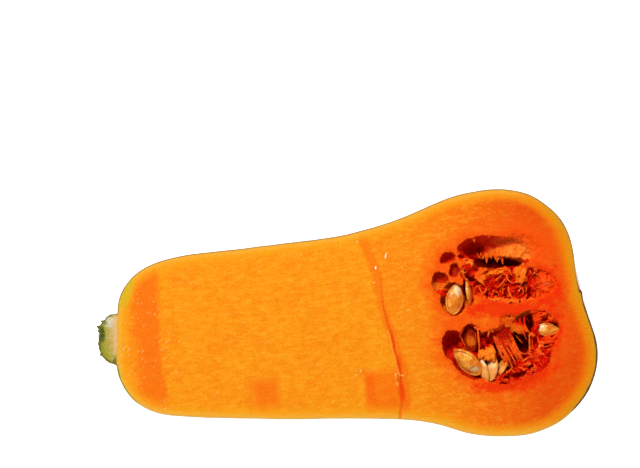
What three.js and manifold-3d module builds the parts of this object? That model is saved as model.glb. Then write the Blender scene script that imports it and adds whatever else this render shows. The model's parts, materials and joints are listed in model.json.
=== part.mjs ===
// Half a butternut squash, cut lengthwise and lying on its skin with the cut face up.
//
// Lengths are millimetres. Every piece is modelled in the frame of the cut: X runs from the stem end
// to the blossom end, Y across the cut face and Z out of it, with the cut at Z = 0. The last section
// leans the half back until bulb and neck both touch the surface, as the real one comes to rest.

import * as THREE from "three";
import { mergeVertices } from "three/addons/utils/BufferGeometryUtils.js";
import Module from "manifold-3d";

const wasm = await Module();
wasm.setup();

// ---- Driving dimensions ----

// Outline of the cut face: pairs of points on its two long sides, from the stem end to the blossom end.
// One squash ring passes through each pair, so a pair that isn't square to X gives a leaning ring.
const OUTLINE = [
  [[0, 0], [0, 0]],
  [[1.4, 13.5], [-1.4, -13.5]],
  [[2.8, 18.4], [-0.5, -18.8]],
  [[6.2, 24.0], [1.9, -24.8]],
  [[12.2, 29.2], [6.6, -31.0]],
  [[21.0, 33.1], [15.0, -36.4]],
  [[34.0, 35.2], [29.0, -39.6]],
  [[56.0, 35.8], [54.0, -42.8]],
  [[82.0, 36.5], [80.0, -45.6]],
  [[106.0, 37.3], [106.0, -47.9]],
  [[122.0, 39.6], [127.0, -50.2]],
  [[136.0, 43.0], [142.0, -53.5]],
  [[152.0, 48.4], [156.0, -59.1]],
  [[168.0, 51.8], [171.0, -62.5]],
  [[183.0, 51.8], [187.0, -62.4]],
  [[196.0, 47.6], [201.5, -57.2]],
  [[206.2, 39.0], [213.0, -47.0]],
  [[211.6, 29.5], [218.8, -35.5]],
  [[213.4, 19.0], [220.3, -24.5]],
  [[213.6, 9.5], [218.0, -13.0]],
  [[214.3, 1.5], [214.3, 1.5]],
];
const RINGS = 48;
const RING_SIDES = 44;
const REST_FLAT_DEPTH = 0.45; // how far the skin is pressed flat where it rests
const GAP = 0.3; // clearance between neighbouring pieces

// Seed pockets, each an ellipsoid hollow in the flesh: centre, half sizes and turn in the cut face.
const UPPER_POCKETS = [
  { at: [176.8, 24.2, 0], size: [17.6, 6.6, 9.5], turn: -12 }, // open bowl under the rim
  { at: [181.0, 17.5, -2], size: [13.5, 2.5, 15.5], turn: -5 }, // slit between shelf and pulp
  { at: [184.5, 7.2, 0], size: [21.0, 9.3, 16], turn: -4 }, // bed of the pulp
  { at: [157.4, 3.6, 0], size: [8.2, 8.6, 11], turn: 20 }, // bay of the two loose seeds
  { at: [164.5, 14.5, 0], size: [6.5, 6.8, 10], turn: 0 }, // bay of the torn lump
  { at: [151.6, 11.6, 0], size: [4.6, 4.9, 6], turn: 0 },
  { at: [154.8, 20.8, 0], size: [4.0, 2.6, 5], turn: 18 },
  { at: [158.2, 15.8, 0], size: [2.7, 3.3, 5], turn: 0 },
];
const LOWER_POCKETS = [
  { at: [156.4, -18.2, 0], size: [8.0, 9.2, 11], turn: 0 }, // open hollow at the neck side
  { at: [175.5, -23.6, 0], size: [19.5, 14.0, 18], turn: 0 }, // bed of the pulp
  { at: [192.5, -16.0, 0], size: [12.0, 10.0, 13], turn: -15 },
  { at: [187.5, -26.0, 0], size: [11.5, 9.5, 13], turn: 20 },
  { at: [160.2, -26.8, 0], size: [11.0, 6.6, 10], turn: -48 }, // bay of the long seed
];

// Torn fibres that reach out from the edge of the bowl over the slit.
const SHELF_TEETH = {
  from: [169.6, 20.6, -7.4],
  to: [190.0, 18.6, -6.6],
  count: 11,
  length: 4.2,
  radius: 0.9,
};

// Pulp: soft lumps that the strands run between, as centre, half sizes and turn.
const UPPER_LUMPS = [
  { at: [184.5, 7.0, -9.5], size: [20.0, 7.6, 6.4], turn: -4 },
  { at: [176.0, 10.6, -4.6], size: [7.6, 3.0, 4.2], turn: -38 },
  { at: [190.0, 9.4, -4.4], size: [6.4, 5.0, 4.0], turn: 10 },
  { at: [198.5, 5.6, -4.0], size: [6.4, 6.4, 4.8], turn: 0 },
  { at: [163.4, 16.4, -4.4], size: [3.6, 3.6, 4.4], turn: 0 },
  { at: [167.0, 12.0, -8.0], size: [6.0, 3.6, 3.2], turn: -20 },
  { at: [182.0, 2.4, -5.4], size: [12.0, 4.2, 5.0], turn: 0 },
];
const LOWER_LUMPS = [
  { at: [177.0, -23.5, -13.5], size: [17.5, 12.5, 4.4], turn: 0 },
  { at: [163.0, -19.5, -9.0], size: [7.0, 7.0, 3.6], turn: 0 },
  { at: [169.4, -24.2, -4.4], size: [4.2, 3.4, 4.6], turn: 0 },
  { at: [174.5, -12.0, -5.6], size: [8.0, 3.6, 6.0], turn: -8 },
  { at: [191.0, -28.6, -5.4], size: [11.0, 7.0, 6.2], turn: 40 },
  { at: [180.5, -34.0, -6.4], size: [11.6, 5.2, 6.0], turn: 4 },
  { at: [198.0, -20.4, -5.6], size: [8.0, 6.6, 6.0], turn: -10 },
  { at: [195.6, -9.8, -4.6], size: [8.4, 5.0, 5.0], turn: -15 },
];
const LUMP_RELIEF = 0.5; // height of the knobbly relief on a lump
const LUMP_RELIEF_PITCH = 4.4;

// Strands run in fans: each fan starts along one line, ends along another and arches in between.
const UPPER_FANS = [
  {
    from: [[168, 15.2, -2.2], [178, 15.6, -2.0]],
    to: [[176, 3.4, -2.6], [184, 5.2, -2.2]],
    arch: 1.6,
    count: 6,
    radius: 0.8,
  },
  {
    from: [[181, 15.0, -3.0], [198, 12.8, -2.4]],
    to: [[178, 0.6, -1.6], [201, 0.4, -1.4]],
    arch: 1.2,
    count: 9,
    radius: 0.75,
  },
  {
    from: [[165, 12.0, -5.0], [172, 5.0, -5.0]],
    to: [[167, 1.2, -1.8], [174, 0.6, -1.6]],
    arch: 2.2,
    count: 4,
    radius: 0.55,
  },
  {
    from: [[160.2, 14.6, -1.6], [162.4, 17.0, -1.6]],
    to: [[162.0, 9.0, -4.4], [167.0, 6.0, -5.0]],
    arch: 1.0,
    count: 3,
    radius: 0.55,
  },
];
const LOWER_FANS = [
  {
    from: [[170.6, -11.8, -1.8], [180.6, -10.4, -1.8]],
    to: [[174.8, -29.0, -8.0], [188.4, -29.8, -6.2]],
    arch: 2.2,
    count: 8,
    radius: 0.85,
  },
  {
    from: [[183.0, -8.8, -1.6], [188.6, -9.6, -1.6]],
    to: [[186.4, -26.6, -6.4], [190.0, -26.0, -3.6]],
    arch: 0.8,
    count: 4,
    radius: 0.6,
  },
  {
    from: [[188.6, -32.0, -2.0], [200.2, -22.0, -2.0]],
    to: [[183.0, -29.0, -5.6], [192.0, -20.6, -5.6]],
    arch: 1.0,
    count: 5,
    radius: 0.7,
  },
  {
    from: [[172.6, -36.0, -2.4], [186.0, -35.4, -2.4]],
    to: [[174.6, -29.6, -6.0], [184.0, -28.8, -6.0]],
    arch: 1.2,
    count: 5,
    radius: 0.7,
  },
  {
    from: [[159.0, -9.8, -2.2], [165.0, -10.2, -2.2]],
    to: [[159.4, -21.0, -6.0], [167.2, -22.4, -5.0]],
    arch: 3.2,
    count: 3,
    radius: 0.6,
  },
];
const STRAND_SIDES = 4;
const STRAND_STEPS = 3;

// Dark gaps that the pulp leaves open down to the floor of its bed.
const UPPER_GAPS = [
  { at: [173.4, 8.4, -5.0], size: [3.4, 1.7, 7.0], turn: -40 },
  { at: [183.6, -0.4, -4.0], size: [3.0, 1.5, 5.0], turn: 0 },
];
const LOWER_GAPS = [
  { at: [168.4, -15.8, -7.0], size: [2.6, 4.0, 9.0], turn: 15 },
  { at: [184.6, -20.8, -9.0], size: [3.2, 4.2, 11.0], turn: 10 },
  { at: [189.6, -10.0, -6.0], size: [1.6, 3.0, 8.0], turn: 10 },
];

// Seeds: centre, direction of the pointed end in the cut face, lift of that end and roll about it.
const SEED_LENGTH = 15.5;
const SEED_WIDTH = 8.8;
const SEED_THICKNESS = 3.1;
const SEED_TIP_TAPER = 0.45;
const SEEDS = [
  { name: "seed_bay_large", at: [156.4, 3.4, -2.1], tip: 74, lift: -8, roll: 14, scale: 1.0 },
  { name: "seed_bay_edge", at: [163.5, 6.4, -4.4], tip: 94, lift: 6, roll: 78, scale: 0.82 },
  { name: "seed_upper_buried", at: [188.8, 3.8, -3.8], tip: 62, lift: 10, roll: -24, scale: 0.74 },
  { name: "seed_hollow_long", at: [159.6, -26.6, -3.4], tip: 132, lift: -4, roll: -34, scale: 1.08 },
  { name: "seed_fan_first", at: [166.2, -30.0, -4.6], tip: 104, lift: -10, roll: -72, scale: 0.92 },
  { name: "seed_fan_second", at: [171.6, -30.4, -4.4], tip: 82, lift: -8, roll: -66, scale: 0.86 },
  { name: "seed_fan_third", at: [176.8, -29.2, -4.8], tip: 62, lift: -6, roll: -70, scale: 0.7 },
  { name: "seed_blossom_end", at: [197.7, -15.2, -2.6], tip: -7, lift: 2, roll: 6, scale: 0.74 },
  { name: "seed_veiled", at: [162.2, -15.0, -5.2], tip: 95, lift: 0, roll: -10, scale: 0.84 },
];

// Stem stub: a corky, five-lobed knob, broken off short, leaning with the slope of the stem end.
const STEM_CENTRE_Y = -0.8;
const STEM_LEAN = -0.1034; // radians
const STEM_PROFILE = [
  [0, 0],
  [12.0, 0],
  [12.1, 1.6],
  [11.9, 3.6],
  [10.9, 6.2],
  [8.9, 8.2],
  [6.2, 8.9],
  [3.2, 8.2],
  [0, 7.8],
];
const STEM_LOBES = 5;
const STEM_LOBE_HEIGHT = 0.55;
const STEM_SIDES = 40;
const STEM_SPLINTERS = [
  { at: [8.1, 4.6], radius: 1.3, height: 3.0 },
  { at: [8.2, -3.4], radius: 1.1, height: 1.6 },
];

const MATERIALS = {
  flesh: new THREE.MeshStandardMaterial({ color: 0xff8f1c, roughness: 0.42, metalness: 0 }),
  pulp: new THREE.MeshStandardMaterial({ color: 0xe2420e, roughness: 0.3, metalness: 0 }),
  seed: new THREE.MeshStandardMaterial({ color: 0xe0b878, roughness: 0.4, metalness: 0 }),
  stem: new THREE.MeshStandardMaterial({ color: 0x9aa05a, roughness: 0.75, metalness: 0 }),
};

// ---- Solids ----

// A closed three.js geometry, placed by a matrix, as a solid that can be joined and cut.
function toSolid(geometry, matrix = new THREE.Matrix4()) {
  const bare = new THREE.BufferGeometry();
  bare.setAttribute("position", geometry.getAttribute("position").clone());
  bare.setIndex(geometry.index);
  bare.applyMatrix4(matrix);
  const merged = mergeVertices(bare);
  return new wasm.Manifold(
    new wasm.Mesh({
      numProp: 3,
      vertProperties: merged.attributes.position.array,
      triVerts: new Uint32Array(merged.index.array),
    }),
  );
}

function toGeometry(solid) {
  const mesh = solid.getMesh();
  const geometry = new THREE.BufferGeometry();
  geometry.setAttribute("position", new THREE.BufferAttribute(mesh.vertProperties, 3));
  geometry.setIndex(new THREE.BufferAttribute(mesh.triVerts, 1));
  geometry.computeVertexNormals();
  return geometry;
}

const joined = (solids) => solids.reduce((whole, next) => whole.add(next));

// Cutting can leave loose crumbs, and the real pulp holds together, so only the largest body is kept.
const largestBody = (solid) =>
  solid.decompose().reduce((largest, body) => (body.volume() > largest.volume() ? body : largest));

function boxBelow(top) {
  const side = 800;
  return new THREE.BoxGeometry(side, side, side).translate(0, 0, top - side / 2);
}

// A value from -1 to 1 that looks random but is the same every time for the same numbers.
function scatter(index, channel) {
  const wave = Math.sin(index * 12.9898 + channel * 78.233) * 43758.5453;
  return 2 * (wave - Math.floor(wave)) - 1;
}

// ---- Flesh ----

const sideCurve = (side) =>
  new THREE.CatmullRomCurve3(
    OUTLINE.map((pair) => new THREE.Vector3(pair[side][0], pair[side][1], 0)),
    false,
    "centripetal",
  );
const curves = [sideCurve(0), sideCurve(1)];

// Ring of the whole squash at a share of its length: middle, radius, and lean towards the blossom end.
function ringAt(share) {
  const [upper, lower] = curves.map((curve) => curve.getPoint(share));
  return {
    x: (upper.x + lower.x) / 2,
    y: (upper.y + lower.y) / 2,
    radius: (upper.y - lower.y) / 2,
    lean: (upper.x - lower.x) / 2,
  };
}

// The whole squash: a sphere whose parallels become the rings.
function wholeSquash() {
  const geometry = new THREE.SphereGeometry(1, RING_SIDES, RINGS);
  const position = geometry.getAttribute("position");
  for (let i = 0; i < position.count; i++) {
    const ring = ringAt(Math.acos(THREE.MathUtils.clamp(position.getY(i), -1, 1)) / Math.PI);
    const around = Math.atan2(position.getZ(i), position.getX(i));
    position.setXYZ(
      i,
      ring.x + ring.lean * Math.cos(around),
      ring.y + ring.radius * Math.cos(around),
      ring.radius * Math.sin(around),
    );
  }
  return toSolid(geometry);
}

// The straight line that touches the keel under the neck and under the bulb.
function restingLine() {
  const keel = Array.from({ length: 400 }, (_, i) => ringAt(i / 399));
  const middle = OUTLINE[10][0][0];
  const lowest = (rings, slope) =>
    rings.reduce((best, ring) =>
      -ring.radius - slope * ring.x < -best.radius - slope * best.x ? ring : best,
    );
  let slope = 0;
  let bulb;
  for (let pass = 0; pass < 8; pass++) {
    bulb = lowest(keel.filter((ring) => ring.x > middle), slope);
    const neck = lowest(keel.filter((ring) => ring.x < middle), slope);
    slope = (neck.radius - bulb.radius) / (bulb.x - neck.x);
  }
  return { slope, heightAtOrigin: -bulb.radius - slope * bulb.x };
}

function ellipsoid({ at, size, turn }, inset = 0, sides = 16, rings = 10) {
  const geometry = new THREE.SphereGeometry(1, sides, rings).rotateX(Math.PI / 2);
  const matrix = new THREE.Matrix4().compose(
    new THREE.Vector3(...at),
    new THREE.Quaternion().setFromAxisAngle(new THREE.Vector3(0, 0, 1), THREE.MathUtils.degToRad(turn)),
    new THREE.Vector3(...size.map((half) => half - inset)),
  );
  return toSolid(geometry, matrix);
}

// A row of small pointed fibres, each rooted in the flesh under the bowl and pointing across the slit.
function shelfTeeth() {
  const { from, to, count, length, radius } = SHELF_TEETH;
  const start = new THREE.Vector3(...from);
  const end = new THREE.Vector3(...to);
  return joined(
    Array.from({ length: count }, (_, i) => {
      const tall = length * (1 + 0.3 * scatter(i, 1));
      const cone = new THREE.ConeGeometry(radius, tall, STRAND_SIDES);
      const root = start.clone().lerp(end, i / (count - 1));
      const matrix = new THREE.Matrix4()
        .makeRotationZ(Math.PI + 0.25 * scatter(i, 2))
        .setPosition(root.x, root.y - tall * 0.25, root.z);
      return toSolid(cone, matrix);
    }),
  );
}

// ---- Seeds ----

// A flat, rounded seed that narrows to a blunt point at +X.
function seedGeometry(length, width, thickness) {
  const geometry = new THREE.SphereGeometry(1, 12, 9).rotateZ(-Math.PI / 2);
  const position = geometry.getAttribute("position");
  for (let i = 0; i < position.count; i++) {
    const along = position.getX(i);
    const slim = 1 - SEED_TIP_TAPER * ((1 + along) / 2) ** 3;
    position.setXYZ(
      i,
      (along * length) / 2,
      (position.getY(i) * slim * width) / 2,
      (position.getZ(i) * slim * thickness) / 2,
    );
  }
  geometry.computeVertexNormals();
  return geometry;
}

function seedMesh({ name, at, tip, lift, roll, scale }, grow = 0) {
  const [length, width, thickness] = [SEED_LENGTH, SEED_WIDTH, SEED_THICKNESS].map(
    (size) => size * scale + 2 * grow,
  );
  const mesh = new THREE.Mesh(seedGeometry(length, width, thickness), MATERIALS.seed);
  mesh.name = name;
  mesh.position.set(...at);
  mesh.rotation.set(
    THREE.MathUtils.degToRad(roll),
    THREE.MathUtils.degToRad(-lift),
    THREE.MathUtils.degToRad(tip),
    "ZYX",
  );
  mesh.updateMatrix();
  return mesh;
}

// The room that the seeds take up in the flesh and the pulp, with the gap round them.
function seedRoom() {
  return joined(
    SEEDS.map((seed) => {
      const mesh = seedMesh(seed, GAP);
      return toSolid(mesh.geometry, mesh.matrix);
    }),
  );
}

// ---- Pulp ----

// A lump with knobbly relief, so that light catches it as it does on torn pulp.
function lump({ at, size, turn }) {
  const geometry = new THREE.SphereGeometry(1, 12, 8).rotateX(Math.PI / 2);
  const position = geometry.getAttribute("position");
  const pitch = (2 * Math.PI) / LUMP_RELIEF_PITCH;
  const matrix = new THREE.Matrix4()
    .makeRotationZ(THREE.MathUtils.degToRad(turn))
    .setPosition(...at);
  for (let i = 0; i < position.count; i++) {
    const point = new THREE.Vector3().fromBufferAttribute(position, i);
    const placed = point.clone().multiply(new THREE.Vector3(...size));
    const wave =
      Math.sin(placed.x * pitch + at[1]) * Math.cos(placed.y * pitch + at[0]) +
      0.6 * Math.sin(placed.x * 0.6 * pitch + placed.y * 1.3 * pitch);
    placed.addScaledVector(point, LUMP_RELIEF * wave);
    position.setXYZ(i, placed.x, placed.y, placed.z);
  }
  return toSolid(geometry, matrix);
}

function strand(points, radius) {
  const section = new THREE.Shape();
  for (let i = 0; i < STRAND_SIDES; i++) {
    const angle = (i / STRAND_SIDES) * 2 * Math.PI;
    section[i ? "lineTo" : "moveTo"](radius * Math.cos(angle), radius * Math.sin(angle));
  }
  section.closePath();
  const extrudePath = new THREE.CatmullRomCurve3(points);
  return toSolid(new THREE.ExtrudeGeometry(section, { steps: STRAND_STEPS, extrudePath }));
}

function fanStrands({ from, to, arch, count, radius }, fanIndex) {
  const [a, b, c, d] = [...from, ...to].map((point) => new THREE.Vector3(...point));
  return Array.from({ length: count }, (_, i) => {
    const share = count > 1 ? i / (count - 1) : 0.5;
    const key = fanIndex * 31 + i;
    const start = a.clone().lerp(b, share);
    const end = c.clone().lerp(d, share);
    const middle = start.clone().lerp(end, 0.5 + 0.12 * scatter(key, 3));
    middle.x += 1.3 * scatter(key, 4);
    middle.z += arch * (0.75 + 0.5 * scatter(key, 5));
    start.z -= 0.5 + 0.5 * scatter(key, 6);
    return strand([start, middle, end], radius * (1 + 0.25 * scatter(key, 7)));
  });
}

// One mass of pulp: lumps and strands, kept inside its own pockets and clear of flesh and seeds.
function pulpMass({ lumps, fans, gaps, pockets }, waste, seeds) {
  const mass = joined([...lumps.map(lump), ...fans.flatMap(fanStrands)]);
  const bed = joined(pockets.map((pocket) => ellipsoid(pocket, GAP)));
  const open = joined(gaps.map((gap) => ellipsoid(gap, 0, 9, 7)));
  return largestBody(mass.intersect(bed).subtract(open).subtract(waste).subtract(seeds));
}

// ---- Stem ----

function stemSolid(waste) {
  const profile = STEM_PROFILE.map(([radius, height]) => new THREE.Vector2(radius, height));
  const geometry = new THREE.LatheGeometry(profile, STEM_SIDES);
  const position = geometry.getAttribute("position");
  for (let i = 0; i < position.count; i++) {
    const angle = Math.atan2(position.getZ(i), position.getX(i));
    const radius = Math.hypot(position.getX(i), position.getZ(i));
    const lobed = radius + STEM_LOBE_HEIGHT * Math.cos(STEM_LOBES * angle) * Math.min(1, radius / 8);
    const chipped = position.getY(i) > 5 ? 0.4 * Math.sin(3 * angle + radius) : 0;
    position.setXYZ(i, lobed * Math.cos(angle), position.getY(i) + chipped, lobed * Math.sin(angle));
  }
  const knob = toSolid(geometry);
  const splinters = STEM_SPLINTERS.map(({ at, radius, height }) =>
    toSolid(new THREE.ConeGeometry(radius, height, STRAND_SIDES).translate(at[1], at[0], -1)),
  );
  // The lathe turns about Y: it is laid down so that the knob points out of the stem end.
  const placed = new THREE.Matrix4()
    .makeRotationZ(Math.PI / 2 + STEM_LEAN)
    .setPosition(-1.5 * GAP, STEM_CENTRE_Y, 0);
  return joined([knob, ...splinters]).transform(placed.elements).subtract(waste);
}

// ---- Assembly ----

const rest = restingLine();
const lean = Math.atan(rest.slope);

const half = new THREE.Group();
half.rotation.y = lean;

const addPiece = (name, solid, material) => {
  const mesh = new THREE.Mesh(toGeometry(solid), material);
  mesh.name = name;
  half.add(mesh);
};

const cutAway = toSolid(boxBelow(0).rotateX(Math.PI)); // everything above the cut
const floor = toSolid(
  boxBelow(REST_FLAT_DEPTH).rotateY(-lean).translate(0, 0, rest.heightAtOrigin),
);
const seeds = seedRoom();

const pockets = joined([...UPPER_POCKETS, ...LOWER_POCKETS].map((pocket) => ellipsoid(pocket)));
const flesh = wholeSquash().subtract(cutAway).subtract(floor).subtract(pockets).add(shelfTeeth());
addPiece("flesh", largestBody(flesh.subtract(seeds)), MATERIALS.flesh);

const upper = { lumps: UPPER_LUMPS, fans: UPPER_FANS, gaps: UPPER_GAPS, pockets: UPPER_POCKETS };
const lower = { lumps: LOWER_LUMPS, fans: LOWER_FANS, gaps: LOWER_GAPS, pockets: LOWER_POCKETS };
addPiece("pulp_upper", pulpMass(upper, cutAway, seeds), MATERIALS.pulp);
addPiece("pulp_lower", pulpMass(lower, cutAway, seeds), MATERIALS.pulp);
addPiece("stem", stemSolid(cutAway), MATERIALS.stem);
SEEDS.forEach((seed) => half.add(seedMesh(seed)));

// The part's frame: its origin lies under the middle of its bounding box, on the surface.
const bounds = new THREE.Box3().setFromObject(half, true);
const middle = bounds.getCenter(new THREE.Vector3());
half.position.set(-middle.x, -middle.y, -bounds.min.z);

const squash = new THREE.Group();
squash.add(half);

export default squash;
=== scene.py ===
"""Half a butternut squash, cut lengthwise, on a pale studio table.

Everything is in metres. The pieces are modelled in the frame of the cut, with X from the stem end to
the blossom end, Y across the cut face and Z out of it, and are then laid down as the part lies.
Places and sizes in the tables are in that frame, in mm.
"""

import json
import math
import random
from functools import partial
from types import SimpleNamespace

import bpy
from mathutils import Matrix, Vector
from mathutils.bvhtree import BVHTree


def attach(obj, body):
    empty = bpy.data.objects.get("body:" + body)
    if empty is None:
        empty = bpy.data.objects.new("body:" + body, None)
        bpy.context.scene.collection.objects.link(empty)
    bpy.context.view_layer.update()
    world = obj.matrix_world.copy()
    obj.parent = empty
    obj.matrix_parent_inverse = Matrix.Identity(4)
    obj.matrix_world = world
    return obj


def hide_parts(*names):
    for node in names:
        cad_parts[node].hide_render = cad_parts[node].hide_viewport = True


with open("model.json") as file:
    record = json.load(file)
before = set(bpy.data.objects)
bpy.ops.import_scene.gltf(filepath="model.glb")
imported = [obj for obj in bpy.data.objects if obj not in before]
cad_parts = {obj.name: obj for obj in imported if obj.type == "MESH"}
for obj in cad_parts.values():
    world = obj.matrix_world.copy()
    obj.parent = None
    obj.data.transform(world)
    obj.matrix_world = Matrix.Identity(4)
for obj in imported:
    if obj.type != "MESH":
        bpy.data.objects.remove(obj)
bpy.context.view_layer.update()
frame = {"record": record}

MM = 0.001
WELD = 0.01 * MM  # corners closer than this are one

# Where the mount on the cut face lies in the frame of the cut, in mm.
MOUNT_PLACE = (80, -4, 0)
CUT_FACE = next(m for m in frame["record"]["mounts"] if m["name"] == "cut_face")
LEAN = math.atan2(-CUT_FACE["axis"][0], CUT_FACE["axis"][2])
TURN = Matrix.Rotation(-LEAN, 4, "Y")
CUT_ORIGIN = Vector(CUT_FACE["pos_m"]) - TURN @ (Vector(MOUNT_PLACE) * MM)
CUT_TO_ROW = Matrix.Translation(CUT_ORIGIN) @ TURN

# Pairs of points on the two long sides of the cut face, from the stem end to the blossom end.
OUTLINE = [
    ((0, 0), (0, 0)),
    ((1.4, 13.5), (-1.4, -13.5)),
    ((2.8, 18.4), (-0.5, -18.8)),
    ((6.2, 24.0), (1.9, -24.8)),
    ((12.2, 29.2), (6.6, -31.0)),
    ((21.0, 33.1), (15.0, -36.4)),
    ((34.0, 35.2), (29.0, -39.6)),
    ((56.0, 35.8), (54.0, -42.8)),
    ((82.0, 36.5), (80.0, -45.6)),
    ((106.0, 37.3), (106.0, -47.9)),
    ((122.0, 39.6), (127.0, -50.2)),
    ((136.0, 43.0), (142.0, -53.5)),
    ((152.0, 48.4), (156.0, -59.1)),
    ((168.0, 51.8), (171.0, -62.5)),
    ((183.0, 51.8), (187.0, -62.4)),
    ((196.0, 47.6), (201.5, -57.2)),
    ((206.2, 39.0), (213.0, -47.0)),
    ((211.6, 29.5), (218.8, -35.5)),
    ((213.4, 19.0), (220.3, -24.5)),
    ((213.6, 9.5), (218.0, -13.0)),
    ((214.3, 1.5), (214.3, 1.5)),
]
BODY_RINGS = 72
BODY_SIDES = 96
CUT_MIDDLE = (104, -5, 0)
CUT_SIZE = (252, 142)  # of the block that the knife takes away, in mm and in steps of its underside
KNIFE_BLOCK_HEIGHT = 90
COARSE, FINE, SMOOTH = (12, 8), (32, 20), (40, 28)  # steps round a ball and along it
SKIN_TOLERANCE = 0.03  # a point this close to the whole squash's surface, in mm, is on its skin
FACING_UP = 0.8
SLAB = (0.8, 0.8, 0.1)  # wider and thicker than the squash, in metres

# ---------------------------------------------------------------- tools


def mode(name):
    bpy.ops.object.mode_set(mode=name)


def only(obj):
    """Selects and activates one object."""
    if bpy.context.object and bpy.context.object.mode != "OBJECT":
        mode("OBJECT")
    bpy.ops.object.select_all(action="DESELECT")
    obj.select_set(True)
    bpy.context.view_layer.objects.active = obj
    return obj


def named(name):
    """Names the active object and its data."""
    obj = bpy.context.object
    obj.name = name
    obj.data.name = name
    return obj


def duplicate(obj, name="copy"):
    """A copy of obj with its own mesh."""
    twin = obj.copy()
    twin.data = obj.data.copy()
    twin.name = twin.data.name = name
    bpy.context.collection.objects.link(twin)
    return twin


def modify(obj, kind, **settings):
    """Adds a modifier and applies it."""
    only(obj)
    modifier = obj.modifiers.new(kind.title(), kind)
    for key, value in settings.items():
        setattr(modifier, key, value)
    bpy.ops.object.modifier_apply(modifier=modifier.name)
    return obj


def combine(obj, other, operation):
    """Joins or cuts obj by other, which is then gone."""
    modify(obj, "BOOLEAN", operation=operation, solver="MANIFOLD", object=other)
    bpy.data.objects.remove(other)
    return obj


def merged(name, objects):
    """Makes one object of several."""
    only(objects[0])
    for obj in objects[1:]:
        obj.select_set(True)
    bpy.ops.object.join()
    return named(name)


def apply_place(obj):
    """Puts obj's place, turn and scale into its mesh."""
    only(obj)
    bpy.ops.object.transform_apply(location=True, rotation=True, scale=True)
    return obj


def pick(obj, test):
    """Selects the vertices that pass a test on their place in mm, and leaves obj in edit mode."""
    only(obj)
    mode("EDIT")
    bpy.ops.mesh.select_all(action="DESELECT")
    mode("OBJECT")
    for vertex in obj.data.vertices:
        vertex.select = test(*(vertex.co / MM))
    mode("EDIT")


def close_and_turn_out(obj):
    """Closes open ends and points all faces outwards."""
    only(obj)
    mode("EDIT")
    bpy.ops.mesh.select_all(action="SELECT")
    bpy.ops.mesh.fill_holes(sides=0)
    bpy.ops.mesh.select_all(action="SELECT")
    bpy.ops.mesh.normals_make_consistent(inside=False)
    mode("OBJECT")
    return obj


def lay_down(obj, node, smooth_angle=40):
    """Turns a finished piece from the frame of the cut to the part's, where it stands for a node."""
    only(obj)
    obj.matrix_world = CUT_TO_ROW
    apply_place(obj)
    bpy.ops.object.shade_smooth_by_angle(angle=math.radians(smooth_angle))
    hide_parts(node)
    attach(obj, "root")
    return obj


def ball(at, size, turn=0, steps=FINE):
    """An ellipsoid: middle, half sizes and turn in the cut face."""
    bpy.ops.mesh.primitive_uv_sphere_add(
        segments=steps[0],
        ring_count=steps[1],
        radius=1,
        location=Vector(at) * MM,
        rotation=(0, 0, math.radians(turn)),
        scale=Vector(size) * MM,
    )
    return apply_place(bpy.context.object)


def roughen(obj, size, height, middle=0.5):
    """Moves the surface in and out by a cloudy pattern, with bumps of about size."""
    texture = bpy.data.textures.new(f"relief_{size}", "CLOUDS")
    texture.noise_scale = size * MM
    return modify(
        obj,
        "DISPLACE",
        texture=texture,
        texture_coords="GLOBAL",
        strength=height * MM,
        mid_level=middle,
    )


def slab(bottom):
    """A level block from a height in metres up, for cutting with."""
    bpy.ops.mesh.primitive_cube_add(size=1, location=(0, 0, bottom + SLAB[2] / 2), scale=SLAB)
    return apply_place(bpy.context.object)


def remeshed(obj, cell):
    """One closed skin round all of obj, in cells of a size in mm."""
    return modify(obj, "REMESH", mode="VOXEL", voxel_size=cell * MM)


def dressed(obj, material):
    """Gives obj one material, in place of any that its parts brought along."""
    obj.data.materials.clear()
    obj.data.materials.append(material)
    return obj


def strands_solid(name, strands, sides=1):
    """Round strands, each on a smooth path near its points, slim at its ends.

    A strand is its points and its radius."""
    bpy.ops.curve.primitive_nurbs_path_add()
    curve = named(name).data
    curve.splines.clear()
    curve.bevel_depth = MM
    curve.bevel_resolution = sides
    curve.use_fill_caps = True
    for points, radius in strands:
        spline = curve.splines.new("NURBS")
        spline.points.add(len(points) - 1)
        spline.order_u = min(4, len(points))
        spline.use_endpoint_u = True
        spline.resolution_u = 4
        last = len(points) - 1
        for index, (knot, place) in enumerate(zip(spline.points, points)):
            knot.co = (*(Vector(place) * MM), 1)
            knot.radius = radius * (0.5 if index in (0, last) else 1)
    bpy.ops.object.convert(target="MESH")
    mode("EDIT")
    bpy.ops.mesh.select_all(action="SELECT")
    bpy.ops.mesh.remove_doubles(threshold=WELD)
    bpy.ops.mesh.normals_make_consistent(inside=False)
    mode("OBJECT")
    return bpy.context.object


# ---------------------------------------------------------------- materials


def srgb(code, alpha=1.0):
    """A hex colour as linear RGBA."""
    parts = [int(code[i : i + 2], 16) / 255 for i in (1, 3, 5)]
    linear = [p / 12.92 if p <= 0.04045 else ((p + 0.055) / 1.055) ** 2.4 for p in parts]
    return (*linear, alpha)


def add_node(tree, kind, inputs=None, output=0, **settings):
    """Adds a node with its settings, sets or links its inputs, and gives one of its outputs."""
    node = tree.nodes.new(f"ShaderNode{kind}")
    for name, value in settings.items():
        setattr(node, name, value)
    for socket, value in (inputs or {}).items():
        if isinstance(value, bpy.types.NodeSocket):
            tree.links.new(value, node.inputs[socket])
        else:
            node.inputs[socket].default_value = srgb(value) if isinstance(value, str) else value
    return node.outputs[output]


def new_material(name, **constants):
    """A material, its shader with constants set on the shader's own sockets, and its add_node."""
    material = bpy.data.materials.new(name)
    material.use_nodes = True
    shader = material.node_tree.nodes["Principled BSDF"]
    for socket, value in constants.items():
        shader.inputs[socket.replace("_", " ")].default_value = value
    return material, shader, partial(add_node, material.node_tree)


def plug(source, shader, socket):
    """Links a value to one of a shader's sockets."""
    shader.id_data.links.new(source, shader.inputs[socket])


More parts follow.
